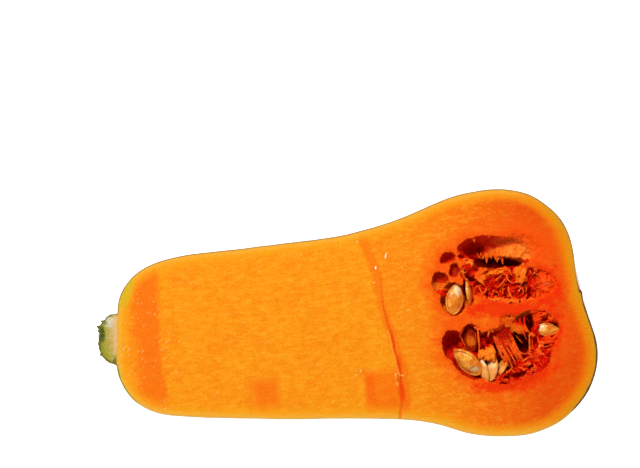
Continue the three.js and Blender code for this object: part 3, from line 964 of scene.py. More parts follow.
# Middle, direction of the pointed end, lift of that end, roll about it, and size against a full seed.
SEEDS = {
    "seed_bay_large": ((156.6, 3.0, -2.3), 76, -6, 12, 0.98),
    "seed_bay_edge": ((163.5, 5.6, -3.6), 94, 4, 74, 0.82),
    "seed_upper_buried": ((187.9, 3.6, -3.9), 66, 4, -24, 0.62),
    "seed_hollow_long": ((159.7, -26.3, -3.2), 131, -4, -30, 1.1),
    "seed_fan_first": ((166.4, -30.6, -3.8), 102, -8, -64, 0.88),
    "seed_fan_second": ((170.8, -30.2, -3.8), 77, -8, -46, 0.84),
    "seed_fan_third": ((175.8, -29.8, -4.0), 58, -6, -56, 0.66),
    "seed_blossom_end": ((198.0, -15.2, -2.2), -8, 2, 6, 0.72),
    "seed_veiled": ((162.2, -16.2, -4.6), 92, 0, -10, 0.78),
}
# Those that lie behind a film of pulp.
VEILED_SEEDS = ("seed_veiled", "seed_upper_buried")
SEED_HALF_LENGTH = 7.7
SEED_HALF_WIDTH = 4.35
# Shares of the seed's outline for its painted shade: the groove inside its margin, half its width, and
# the rim's edge.
GROOVE, GROOVE_HALF_WIDTH, RIM_EDGE = 0.84, 0.1, 0.96
# Towards its pointed end the seed narrows: how far along it, and by how much.
SEED_TAPER = [(0.5, 0.97), (2.5, 0.92), (4.2, 0.85), (5.8, 0.76), (7.0, 0.6)]
# From the rim inwards: share of the outline, and height. A raised margin, a groove and a dome.
SEED_RINGS = [
    (1.0, 0.30),
    (0.985, 0.62),
    (0.92, 0.80),
    (0.86, 0.70),
    (0.81, 0.58),
    (0.75, 0.78),
    (0.62, 1.15),
    (0.42, 1.42),
    (0.2, 1.52),
]


def plump_seed():
    """A full seed, half of it raised ring by ring from its outline and the other half mirrored."""
    bpy.ops.mesh.primitive_circle_add(vertices=32, radius=1)
    seed = named("seed")
    seed.scale = (SEED_HALF_LENGTH * MM, SEED_HALF_WIDTH * MM, MM)
    apply_place(seed)
    for start, narrow in SEED_TAPER:
        pick(seed, lambda x, y, z: x > start)
        bpy.ops.transform.resize(value=(1, narrow, 1), center_override=(0, 0, 0))
        mode("OBJECT")
    mode("EDIT")
    bpy.ops.mesh.select_all(action="SELECT")
    share, height = 1.0, 0.0
    for new_share, new_height in SEED_RINGS:
        bpy.ops.mesh.extrude_edges_move(
            TRANSFORM_OT_translate={"value": (0, 0, (new_height - height) * MM)}
        )
        grow = new_share / share
        bpy.ops.transform.resize(value=(grow, grow, 1), center_override=(0, 0, 0))
        share, height = new_share, new_height
    bpy.ops.mesh.edge_face_add()
    mode("OBJECT")
    modify(seed, "MIRROR", use_axis=(False, False, True), merge_threshold=WELD)
    close_and_turn_out(seed)
    return modify(seed, "SUBSURF", levels=2, render_levels=2)


def seed_material(name, shine, veil, base, pale, film, deep):
    """A fresh seed's hull: cream and leathery, with wet orange film that still sticks to it, pale
    painted highlights and painted shade in the groove inside its margin.

    Shine is how wet it is, and veil how much dark red is painted over the seed outside a spot on the
    veiled seed's middle: the film of pulp over it and the shade of the hollow it lies in."""
    material, shader, node = new_material(
        name,
        Roughness=0.38,
        IOR=1.45,
        Specular_IOR_Level=0.8 * shine,
        Coat_Weight=0.5 * shine,
        Coat_Roughness=0.1,
        Subsurface_Weight=0.1,
        Subsurface_Radius=(1.0, 0.5, 0.2),
        Subsurface_Scale=0.0008,
    )
    place = cut_coordinates(node)
    patches = node("TexNoise", {"Vector": place, "Scale": 1 / 4.5, "Detail": 3, "Roughness": 0.6})
    fleck = node("TexNoise", {"Vector": place, "Scale": 1 / 0.8, "Detail": 3, "Roughness": 0.6})
    threads = node("VectorMath", {0: place, 1: (1, 0.35, 1)}, operation="MULTIPLY")
    veins = node("TexNoise", {"Vector": threads, "Scale": 1 / 0.9, "Detail": 2})
    groove = node("Attribute", attribute_name="groove", output="Fac")
    spot = partial(reach, node, place)
    colour = tinted(
        node,
        base,
        [
            (fleck, 0.48, 0.70, 0.4, pale),
            (patches, 0.40, 0.58, 0.9, film),
            # The pale spots are painted highlights on the large seed, the seed at the blossom end and
            # two seeds of the fan.
            (spot((158.2, 6.8), (1.9, 3.2), 12), 1.2, 0.4, 0.8, pale),
            (spot((195.2, -13.8), (2.0, 2.0)), 1.2, 0.4, 0.6, pale),
            (spot((170.6, -28.4), (2.4, 2.4)), 1.2, 0.5, 0.8, pale),
            (spot((170.6, -31.6), (6.0, 4.4)), 1.15, 0.7, 0.5, "#EEBA68"),
            (spot((166.6, -26.8), (1.0, 3.4), 38), 1.2, 0.5, 0.8, pale),
            (veins, 0.54, 0.68, 0.5, film),
            # Painted shade: dark red over the veiled seed's edges, and darker in each seed's groove and
            # on its rim's edge.
            (spot((162.2, -17.2), (1.9, 3.2), 6), 0.7, 1.2, veil, deep),
            (groove, 0.2, 1.0, 0.4, deep),
            (spot((162.6, -30.0), (2.3, 1.4), -8), 1.2, 0.4, 0.75, "#D6C28C"),
            (spot((161.9, -29.0), (1.6, 0.5), 20), 1.4, 0.5, 0.6, "#7A5016"),
        ],
    )
    plug(colour, shader, "Base Color")
    plug(node("Bump", {"Height": fleck, "Distance": 0.12 * MM}), shader, "Normal")
    return material


def hull_groove_shade(x, y):
    """Painted shade on a seed's hull: 1 in the groove inside its margin and up to 0.6 on the rim's own
    edge, at a place in shares of the half length and half width."""
    share = math.hypot(x, y / max(0.25, 1 - 0.5 * max(0.0, x) ** 2))
    in_groove = max(0.0, 1 - abs(share - GROOVE) / GROOVE_HALF_WIDTH)
    on_edge = max(0.0, (share - RIM_EDGE) / (1 - RIM_EDGE))
    return in_groove + 0.6 * on_edge


def make_seeds():
    """Nine copies of one seed, each turned and sunk in its own way."""
    pattern = plump_seed()
    half_length, half_width = SEED_HALF_LENGTH * MM, SEED_HALF_WIDTH * MM
    places = [(vertex.co.x / half_length, vertex.co.y / half_width) for vertex in pattern.data.vertices]
    # Where each hull gets painted shade: its groove and its rim's edge.
    store(pattern.data, "groove", [hull_groove_shade(*place) for place in places])
    hull = seed_material("wet_seed_hull", 0.22, 0.0, "#F4A42C", "#FFE2A8", "#DC6808", "#984008")
    veiled = seed_material("veiled_seed_hull", 0.02, 0.95, "#D4600E", "#E07C18", "#A81C04", "#8A1402")
    for index, (name, (at, tip, lift, roll, size)) in enumerate(SEEDS.items()):
        seed = duplicate(pattern, f"plump_{name}")
        seed.location = Vector(at) * MM
        seed.rotation_euler = [math.radians(angle) for angle in (roll, -lift, tip)]
        seed.scale = (size, size, size * (1 + 0.1 * math.sin(5 * index)))  # some are fuller than others
        apply_place(seed)
        roughen(seed, 2.2, 0.3)
        dressed(seed, veiled if name in VEILED_SEEDS else hull)
        lay_down(seed, name, smooth_angle=60)
    bpy.data.objects.remove(pattern)


make_seeds()

# ---------------------------------------------------------------- pulp

PULP_FACES = 94000  # per cavity, about two triangles each
BED_CELL, SHEET_CELL, FIBRE_CELL = 0.5, 0.35, 0.26  # how fine each skin over the pulp is, in mm
SHEET_TOP = -0.15
SURROUNDINGS = 2.2  # width of the squares, in mm, over which the pulp's height is averaged
SEEN_DEPTH = 4.5  # what lies deeper counts as this deep in that
RIM_DEPTH = 2.0
END_DIP = 0.9
DRAWN_OUT = 4.0  # how many times longer than wide the bumps on a torn flap are
UPPER_DRAWS, LOWER_DRAWS = 11, 23  # each pulp's random numbers start from one of these


def wavy(draw, points, wander, radius):
    """A strand near its points, each moved by up to wander."""
    moved = []
    for point in points:
        moved.append(Vector(point) + Vector([draw.uniform(-wander, wander) for _ in range(3)]))
    return moved, radius * draw.uniform(0.75, 1.25)


def strewn(draw, centre, size, turn):
    """A place somewhere in a turned ellipse of the cut face."""
    spread = math.sqrt(draw.random())
    around = draw.uniform(0, 2 * math.pi)
    out = Vector((size[0] * spread * math.cos(around), size[1] * spread * math.sin(around)))
    x, y = Matrix.Rotation(math.radians(turn), 2) @ out
    return centre[0] + x, centre[1] + y


def fan(draw, starts, ends, count, arch, wander, radius, rows):
    """Fibres side by side, from one line to another, arched in between."""
    a, b, c, d = (Vector(point) for point in (*starts, *ends))
    strands = []
    for index in range(count):
        share = (index + draw.uniform(0.2, 0.8)) / count
        start, end = a.lerp(b, share), c.lerp(d, share)
        bow = arch * draw.uniform(0.6, 1.4)
        points = []
        for row in range(rows):
            point = start.lerp(end, row / (rows - 1))
            point.z += bow * math.sin(math.pi * row / (rows - 1))
            points.append(point)
        strands.append(wavy(draw, points, wander, radius))
    return strands


def tangle(draw, centre, size, turn, count, length, angle, depth, radius, swerve):
    """Short curly fibres strewn over an ellipse of the cut face, most of them running at one angle."""
    strands = []
    for _ in range(count):
        x, y = strewn(draw, centre, size, turn)
        heading = math.radians(angle + draw.gauss(0, swerve))
        half = length * draw.uniform(0.5, 1.3) / 2
        run = Vector((half * math.cos(heading), half * math.sin(heading), 0))
        side = Vector((-run.y, run.x, 0)).normalized() * draw.uniform(-1, 1)
        low, high = sorted((-draw.uniform(*depth), -draw.uniform(*depth)))
        middle = Vector((x, y, high))
        sink = Vector((0, 0, low - high))
        points = [
            middle - run + sink,
            middle - run * 0.4 + side,
            middle + run * 0.4 + side,
            middle + run + sink * draw.uniform(0.2, 1.0),
        ]
        strands.append(wavy(draw, points, 0.25, radius))
    return strands


def pits(draw, centre, size, turn, count, half, depth):
    """Dark gaps between the strands, strewn over an ellipse of the cut face."""
    gaps = []
    for _ in range(count):
        x, y = strewn(draw, centre, size, turn)
        width = half * draw.uniform(0.6, 1.4)
        gaps.append(((x, y, -1.0), (width, width * 1.9, depth), draw.gauss(-20, 40)))
    return gaps


def lift_over_surroundings(obj, cell):
    """How far each vertex stands over the mean height of the pulp round it, in mm."""
    sums = {}
    places = [vertex.co / MM for vertex in obj.data.vertices]
    for vertex, place in zip(obj.data.vertices, places):
        if vertex.normal.z > 0:
            total = sums.setdefault((round(place.x / cell), round(place.y / cell)), [0.0, 0])
            total[0] += max(place.z, -SEEN_DEPTH)
            total[1] += 1
    lifts = []
    for place in places:
        x, y = place.x / cell, place.y / cell
        level = weight = 0.0
        for i in (math.floor(x), math.floor(x) + 1):
            for j in (math.floor(y), math.floor(y) + 1):
                total, count = sums.get((i, j), (0.0, 0))
                share = (1 - abs(x - i)) * (1 - abs(y - j))
                if count:
                    level += share * total / count
                    weight += share
        lifts.append(place.z - level / weight if weight else 0.0)
    return lifts


def traced(draw, depth, radius, *places):
    """A strand through places on the cut face, a little under it, its ends dipping away."""
    ends = (places[0], places[-1])
    points = [(x, y, -depth - (END_DIP if (x, y) in ends else 0.0)) for x, y in places]
    return wavy(draw, points, 0.12, radius)


def rim_lumps(draw, path, half):
    """Tissue that lies against the wall of the cavity, along a path on the cut face."""
    lumps = []
    for (x1, y1), (x2, y2) in zip(path, path[1:]):
        count = max(1, round(math.dist((x1, y1), (x2, y2)) / half))
        for step in range(count):
            share = (step + draw.random()) / count
            x, y = x1 + (x2 - x1) * share, y1 + (y2 - y1) * share
            at = (x, y, -RIM_DEPTH - draw.uniform(0.0, 0.5))
            lumps.append((at, (half * 1.1, half * 1.1, RIM_DEPTH), 0))
    return lumps


def comb(obj, angle, width, height):
    """Fine fibres over a piece: bumps of a width, drawn out at an angle to the squash's axis."""
    for turn, stretch in ((-angle, 1.0), (0, 1 / DRAWN_OUT)):
        obj.rotation_euler.z = math.radians(turn)
        obj.scale.x = stretch
        apply_place(obj)
    roughen(obj, width, height)
    obj.scale.x = DRAWN_OUT
    obj.rotation_euler.z = math.radians(angle)
    return apply_place(obj)


def torn_flap(at, size, turn, grain):
    """A raised, torn piece of tissue, its fibres running at the angle grain."""
    flap = remeshed(ball(at, size, turn), 0.32)
    roughen(flap, 2.4, 2.0)
    return comb(flap, grain, 0.9, 1.3)


def make_pulp(name, node, sheet, flaps, strands, gaps, drops):
    """The tissue of one cavity: a sheet with torn flaps on it and gaps in it, and strands over them.

    Lumps of the sheet, drops and gaps are middle, half sizes and turn, and a flap has the angle of its
    grain as well."""
    solid = remeshed(merged(name, [ball(*lump, steps=SMOOTH) for lump in sheet]), BED_CELL)
    roughen(solid, 3.2, 3.0)
    roughen(solid, 1.3, 1.4)
    combine(solid, slab(SHEET_TOP * MM), "DIFFERENCE")
    knobs = [torn_flap(*flap) for flap in flaps] + [ball(*drop, steps=COARSE) for drop in drops]
    raised = merged("flaps", knobs)
    solid = remeshed(merged(name, [solid, duplicate(raised)]), SHEET_CELL)
    hollows = remeshed(merged("hollows", [ball(*gap) for gap in gaps]), SHEET_CELL)
    combine(solid, roughen(hollows, 1.6, 1.0), "DIFFERENCE")
    fibres = merged("fibres", [raised, strands_solid("strands", strands)])
    solid = remeshed(merged(name, [solid, strands_solid("strands", strands)]), FIBRE_CELL)
    modify(solid, "SMOOTH", factor=0.5, iterations=1)
    roughen(solid, 1.1, 0.3)
    modify(solid, "DECIMATE", ratio=min(1.0, PULP_FACES / len(solid.data.polygons)))
    # The material paints by these: lighter orange on what stands out and darker red on what lies low,
    # partly as painted light and shade.
    store(solid.data, "lift", lift_over_surroundings(solid, SURROUNDINGS))
    store(solid.data, "fibre_distance", distance_to(fibres, [v.co.copy() for v in solid.data.vertices]))
    bpy.data.objects.remove(fibres)
    lay_down(dressed(solid, pulp_material()), node, smooth_angle=180)


# Torn flaps and films of their own colour: colour, middle, half sizes and turn on the cut face.
FLAP_TINTS = [
    ("#F87410", (171.4, 11.6), (5.4, 3.6), -30),
    ("#F87410", (177.6, 14.0), (4.0, 1.6), 6),
    ("#F87410", (188.0, 11.4), (3.6, 3.8)),
    ("#FF8826", (163.6, 17.8), (4.6, 4.2)),
    ("#F05008", (176.0, 5.6), (6.4, 2.4), 20),
    ("#FF8C1C", (169.0, -24.0), (4.8, 3.6)),
    ("#CC2004", (177.6, -17.6), (4.8, 4.6), 28),
    ("#F4500C", (182.2, -26.0), (4.2, 5.8), 28),
    ("#DC2404", (190.4, -26.6), (3.6, 4.4)),
    ("#F06010", (188.8, -19.6), (1.4, 7.0)),
    ("#F07010", (153.4, 6.8), (4.6, 2.4), 12),
    ("#F06810", (158.4, 12.0), (3.0, 3.4)),
]
# Where pale glints are painted on the pulp, as highlights on its wet surface: middle, half sizes and
# turn on the cut face.
PULP_GLINT_SPOTS = [
    ((198.2, 7.0), (6.0, 5.0)),
    ((185.6, 5.4), (3.6, 4.0)),
    ((172.6, 0.0), (5.0, 1.6)),
    ((195.0, -24.0), (3.0, 8.0), -22),
    ((184.0, -35.6), (9.0, 3.0), 14),
    ((197.0, -7.6), (4.6, 1.6), -12),
]


def pulp_material():
    """Squash pulp: wet deep red tissue, with bright orange strands and torn flaps over it. What stands
    out is painted lighter and what lies low darker red, partly as painted light and shade, and pale
    glints are painted highlights.
    """
    if "wet_stringy_pulp" in bpy.data.materials:
        return bpy.data.materials["wet_stringy_pulp"]
    material, shader, node = new_material(
        "wet_stringy_pulp",
        Roughness=0.18,
        IOR=1.38,
        Specular_IOR_Level=0.2,
        Specular_Tint=(1.0, 0.3, 0.08, 1.0),
        Subsurface_Weight=0.1,
        Subsurface_Radius=(1.0, 0.25, 0.05),
        Subsurface_Scale=0.001,
    )
    place = cut_coordinates(node)
    height = node("SeparateXYZ", {0: place}, "Z")
    patch = node("TexNoise", {"Vector": place, "Scale": 1 / 4.0, "Detail": 3, "Roughness": 0.6})
    speck = node("TexNoise", {"Vector": place, "Scale": 1 / 0.9, "Detail": 2})
    # Painted highlights: pale glints where this noise peaks, strewn in the places listed above and fewer
    # in the pulp's low parts.
    glint = node("TexNoise", {"Vector": place, "Scale": 1 / 0.85, "Detail": 1, "Distortion": 0.6})
    fibres = []
    for size in (2.3, 1.7):
        fibre = node("TexNoise", {"Vector": place, "Scale": 1 / size, "Detail": 1, "Distortion": 0.9})
        fibre = node("Math", {0: fibre, 1: 0.5}, operation="SUBTRACT")
        fibres.append(node("Math", {0: fibre}, operation="ABSOLUTE"))
    lift = node("Attribute", attribute_name="lift", output="Fac")
    away = node("Attribute", attribute_name="fibre_distance", output="Fac")
    raised = node("Math", {0: away, 1: -1.2, 2: lift}, operation="MULTIPLY_ADD")
    spot = partial(reach, node, place)
    glint_places = spot(*PULP_GLINT_SPOTS[0])
    for where in PULP_GLINT_SPOTS[1:]:
        glint_places = node("Math", {0: glint_places, 1: spot(*where)}, operation="MINIMUM")
    glint_places = {"Value": glint_places, "From Min": 1.3, "From Max": 0.6, "To Min": -0.25, "To Max": 0.0}
    sunk = {"Value": raised, "From Min": 0.7, "From Max": -0.4, "To Max": -0.2}
    for change in (glint_places, sunk):
        glint = node("Math", {0: glint, 1: node("MapRange", change)}, operation="ADD")
    rims = {0: spot((184.0, 7.0), (19.4, 9.4), -4), 1: spot((180.5, -21.5), (22.6, 17.4), -14)}
    rim = node("Math", rims, operation="MINIMUM")
    at_wall = node("Math", {0: rim, 1: 1.0, 2: 0.12}, operation="COMPARE")
    at_wall = node("Math", {0: patch, 1: 0.8, 2: at_wall}, operation="MULTIPLY_ADD")
    deep = tinted(
        node,
        "#D00A02",
        [
            (patch, 0.52, 0.64, 0.6, "#E01C04"),
            (patch, 0.48, 0.38, 0.7, "#A40400"),
            (fibres[0], 0.04, 0.01, 0.4, "#E84008"),
            (fibres[1], 0.05, 0.01, 0.5, "#900400"),
            (spot((201.0, 6.0), (6.0, 8.0)), 1.2, 0.7, 0.8, "#E02C04"),
            (rim, 0.85, 1.02, 0.6, "#D81C02"),
            (spot((198.0, -8.4), (6.4, 3.8), -12), 1.2, 0.6, 0.6, "#E04406"),
            (spot((172.0, -9.0), (7.0, 2.6), -6), 1.2, 0.6, 0.7, "#E83C06"),
        ],
    )
    bright = tinted(
        node,
        "#F03A04",
        # Lighter orange on what stands highest: partly painted light.
        [(raised, 0.8, 1.8, 0.5, "#F87018")]
        + [(spot(*where), 1.2, 0.6, 0.85, flap) for flap, *where in FLAP_TINTS]
        + [
            (fibres[0], 0.05, 0.01, 0.45, "#C41C04"),
            (fibres[1], 0.05, 0.01, 0.35, "#FF9030"),
            (speck, 0.60, 0.74, 0.3, "#F88020"),
        ],
    )
    # Lighter orange on what stands out and deep red in the low parts: partly the tissue's own colours,
    # partly painted light and shade.
    on_top = {"Value": raised, "From Min": 0.38, "From Max": 1.5}
    on_top = node("MapRange", on_top, interpolation_type="SMOOTHSTEP")
    colour = node("Mix", {0: on_top, 6: deep, 7: bright}, 2, data_type="RGBA")
    colour = tinted(
        node,
        colour,
        [
            (spot((176.8, -14.0), (5.4, 4.2), -30), 1.15, 0.6, 0.85, "#A80A02"),
            (spot((183.6, -13.4), (3.6, 2.4), -20), 1.15, 0.7, 0.8, "#D85C0C"),
            (spot((200.4, 5.8), (6.6, 8.8)), 1.15, 0.6, 0.7, "#EC4406"),
            (at_wall, 0.9, 1.5, 0.75, "#EA3A06"),
            # Painted highlights: the pale glints.
            (glint, 0.65, 0.75, 0.8, "#FFB494"),
            (spot((200.6, -21.0), (5.0, 7.0), 20), 1.15, 0.6, 0.5, "#EC4406"),
            (spot((180.0, -36.4), (11.0, 3.6), 6), 1.2, 0.6, 0.5, "#B81004"),
            # Painted shade: darker red deeper down in the cavity.
            (height, -4.8, -8.0, 0.7, "#B00602"),
            (height, -7.6, -12.0, 1.0, "#780402"),
        ],
    )
    plug(colour, shader, "Base Color")
    plug(node("Bump", {"Height": speck, "Distance": 0.3 * MM}), shader, "Normal")
    return material


# The strands that stand out of the pulp of the upper cavity: depth under the cut face, radius, path.
UPPER_STRANDS = [
    (1.0, 0.30, (171.6, 15.8), (174.0, 14.7), (176.2, 14.0)),
    (1.0, 0.30, (175.2, 15.8), (175.8, 14.9), (176.4, 14.2)),
    (0.7, 0.45, (176.0, 14.4), (178.0, 15.0), (180.2, 15.0), (181.0, 14.0), (179.4, 13.2)),
    (1.0, 0.35, (167.4, 14.6), (169.6, 13.2), (171.6, 11.0), (172.0, 8.4)),
    (1.0, 0.30, (166.6, 11.8), (168.6, 10.6), (170.4, 8.6), (171.6, 6.6)),
    (0.9, 0.30, (168.6, 13.0), (170.0, 11.4), (171.0, 9.2)),
    (1.0, 0.38, (181.8, 15.4), (182.8, 13.8), (183.9, 11.6), (184.4, 10.4)),
    (1.2, 0.30, (182.8, 15.6), (183.4, 14.4), (183.8, 13.0)),
    (0.7, 0.38, (185.4, 15.0), (184.9, 13.6), (184.9, 12.0)),
    (0.8, 0.32, (190.2, 11.0), (190.6, 13.2), (191.6, 15.6)),
    (0.8, 0.40, (184.4, 12.2), (185.0, 10.2), (184.6, 8.6)),
    (0.8, 0.32, (185.6, 8.6), (186.6, 10.4), (186.8, 12.6)),
    (0.8, 0.38, (190.6, 13.4), (190.0, 10.8), (188.4, 8.6)),
    (0.6, 0.36, (182.0, 12.0), (181.2, 10.4), (182.2, 9.0), (183.2, 8.1), (184.8, 7.2)),
    (0.8, 0.42, (181.2, 10.2), (180.0, 9.2), (179.0, 7.8), (177.6, 6.8), (175.8, 6.4)),
    (0.9, 0.40, (180.2, 12.4), (178.0, 11.2), (176.4, 9.8), (174.6, 8.8)),
    (1.0, 0.34, (177.8, 10.8), (177.2, 8.8), (176.4, 7.4)),
    (1.2, 0.34, (175.4, 10.6), (174.4, 9.2), (174.2, 7.6)),
    (1.3, 0.42, (176.6, 6.4), (178.8, 6.8), (181.6, 7.4)),
    (1.2, 0.50, (183.4, 8.0), (186.0, 8.1), (188.8, 7.8)),
    (0.7, 0.30, (169.6, 7.9), (167.6, 8.0), (166.0, 7.0), (165.5, 5.0), (165.7, 3.0), (166.4, 0.6)),
    (0.9, 0.42, (168.0, 8.0), (168.7, 6.2), (169.6, 4.8), (169.2, 3.0), (168.4, 1.2)),
    (0.9, 0.34, (171.8, 6.2), (170.4, 5.2), (169.5, 3.8)),
    (1.2, 0.30, (170.2, 3.4), (169.8, 1.8), (170.2, 0.2)),
    (
        *(0.2, 0.40, (170.6, 0.6), (172.0, 1.5), (173.2, 0.8), (174.6, 0.4)),
        *((176.2, 0.9), (178.0, 0.9), (179.6, 2.0)),
    ),
    (0.7, 0.36, (172.6, 1.4), (173.8, 2.8), (174.8, 4.2), (174.5, 5.6)),
    (0.8, 0.34, (176.2, 4.8), (176.8, 3.4), (177.5, 2.2)),
    (0.8, 0.32, (178.0, 6.2), (177.7, 4.6), (178.2, 3.0)),
    (0.7, 0.46, (179.0, 6.2), (179.2, 4.6), (178.7, 2.8)),
    (0.5, 0.52, (181.8, 6.4), (181.6, 4.4), (182.2, 2.4), (182.8, 0.8), (184.6, 0.2)),
    (0.9, 0.34, (183.6, 5.4), (183.5, 3.8), (184.4, 2.6), (185.2, 1.4)),
    (0.8, 0.36, (186.6, 6.2), (184.8, 5.8), (183.9, 4.6)),
    (0.6, 0.34, (187.2, 5.4), (187.0, 4.0), (186.0, 3.2), (185.6, 2.0)),
    (0.5, 0.36, (188.2, 5.8), (188.4, 4.0), (188.7, 2.8), (187.6, 2.0)),
    (0.8, 0.34, (189.9, 6.0), (190.0, 4.4), (189.4, 2.6)),
    (0.5, 0.30, (194.6, 10.0), (195.2, 8.5), (196.4, 6.8)),
    (0.4, 0.36, (192.2, 6.2), (192.7, 4.6), (193.4, 3.2)),
    (0.3, 0.32, (195.6, 7.2), (194.8, 5.9), (193.6, 4.6)),
    (0.1, 0.30, (197.4, 8.8), (198.2, 7.5), (198.2, 6.0)),
    (0.0, 0.30, (200.4, 8.4), (201.4, 8.0), (201.8, 6.8)),
    (0.0, 0.28, (196.0, 3.6), (197.4, 4.4), (198.6, 3.8)),
    (0.0, 0.30, (198.0, 2.4), (199.6, 3.2), (201.0, 2.4)),
    (0.2, 0.34, (194.6, 1.8), (196.2, 1.4), (197.4, 0.2)),
    (0.1, 0.28, (199.6, 5.6), (200.8, 5.0), (201.6, 3.8)),
    (0.1, 0.28, (198.8, 9.6), (199.6, 8.4), (199.4, 7.0)),
    (0.8, 0.34, (192.2, 13.4), (193.0, 11.8), (192.6, 9.8)),
    (0.6, 0.40, (195.2, 11.4), (196.0, 13.6), (197.2, 15.2)),
    (0.4, 0.40, (180.8, -1.2), (182.0, -0.4), (183.6, -0.2), (185.0, -0.6)),
    (0.5, 0.34, (184.8, -1.8), (185.6, 0.0), (187.0, 0.2), (187.6, -1.4)),
    (0.4, 0.34, (191.4, 0.8), (191.3, -0.6), (190.4, -1.6)),
    (0.1, 0.36, (188.0, -3.0), (189.4, -2.8), (190.6, -2.0)),
    (0.1, 0.30, (176.4, -1.6), (178.0, -1.0), (179.6, 0.2)),
    (1.2, 0.34, (160.6, 15.2), (162.0, 12.6), (163.4, 10.4), (164.2, 8.0)),
    (1.8, 0.28, (161.6, 14.8), (162.8, 12.0), (163.6, 9.6)),
    (0.9, 0.40, (160.6, 20.2), (162.0, 20.9), (163.6, 21.1), (165.4, 20.6)),
    (0.9, 0.40, (165.2, 20.8), (166.2, 19.6), (166.6, 17.8), (167.4, 16.8)),
    (1.0, 0.36, (161.0, 18.6), (162.4, 19.4), (164.0, 19.2)),
    (1.0, 0.36, (162.0, 16.4), (163.6, 17.0), (165.2, 16.2)),
]
# Wet knobs that catch the light: X, Y and half size.
UPPER_DROPS = [
    (171.3, -0.3, 0.4), (172.2, 1.3, 0.4), (173.1, 1.0, 0.35), (174.1, 0.6, 0.4), (171.6, -1.1, 0.4),
    (179.4, 0.0, 0.4), (179.4, 1.8, 0.35), (182.5, -1.4, 0.4), (183.9, -0.8, 0.35), (188.1, 5.0, 0.45),
    (188.4, 3.6, 0.4), (188.1, 2.3, 0.4), (185.9, 2.1, 0.35), (190.1, 5.0, 0.35), (195.0, 6.6, 0.4),
    (194.4, 5.5, 0.4), (193.7, 4.8, 0.35), (195.1, 9.1, 0.4), (196.4, 7.1, 0.35), (198.3, 8.3, 0.4),
    (198.2, 6.7, 0.35), (201.3, 8.1, 0.4), (203.0, 6.8, 0.4), (203.8, 5.6, 0.35), (201.7, 7.3, 0.35),
    (197.2, 3.2, 0.35), (199.8, 2.5, 0.35), (192.1, 12.3, 0.4), (193.6, 7.9, 0.35), (194.1, 0.6, 0.35),
]


# Tangles of short fibres: middle, half sizes and turn of where they are strewn, how many they are, their
# length, the angle most of them run at, how deep they lie, their radius and how much the angle varies.
UPPER_TANGLES = [
    ((181, 5.0), (12.6, 6.0), -4, 44, 3.6, 65, (0.9, 2.6), 0.27, 40),
    ((196.4, 6.4), (4.6, 6.8), 0, 20, 2.6, 60, (0.0, 0.8), 0.24, 40),
    ((201.2, 5.4), (3.6, 5.4), 0, 10, 2.0, 60, (-0.1, 0.2), 0.2, 60),
]
# Dark gaps: middle, half sizes and turn of where they are strewn, how many, half their width and depth.
UPPER_PITS = [
    ((183, 5.4), (14, 6.0), -4, 12, 0.4, 2.4),
    ((198.6, 6.0), (3.8, 6.2), 0, 5, 0.4, 0.6),
]
# Where the pulp of the upper cavity lies against the wall.
UPPER_RIM = [
    (191.0, 15.6),
    (195, 14.8),
    (198.6, 13.4),
    (201, 12.2),
    (204, 8.6),
    (204.4, 3.6),
    (200.6, -0.4),
    (193, -1.8),
    (184, -1.6),
    (174, -0.6),
    (168.6, 0.6),
]


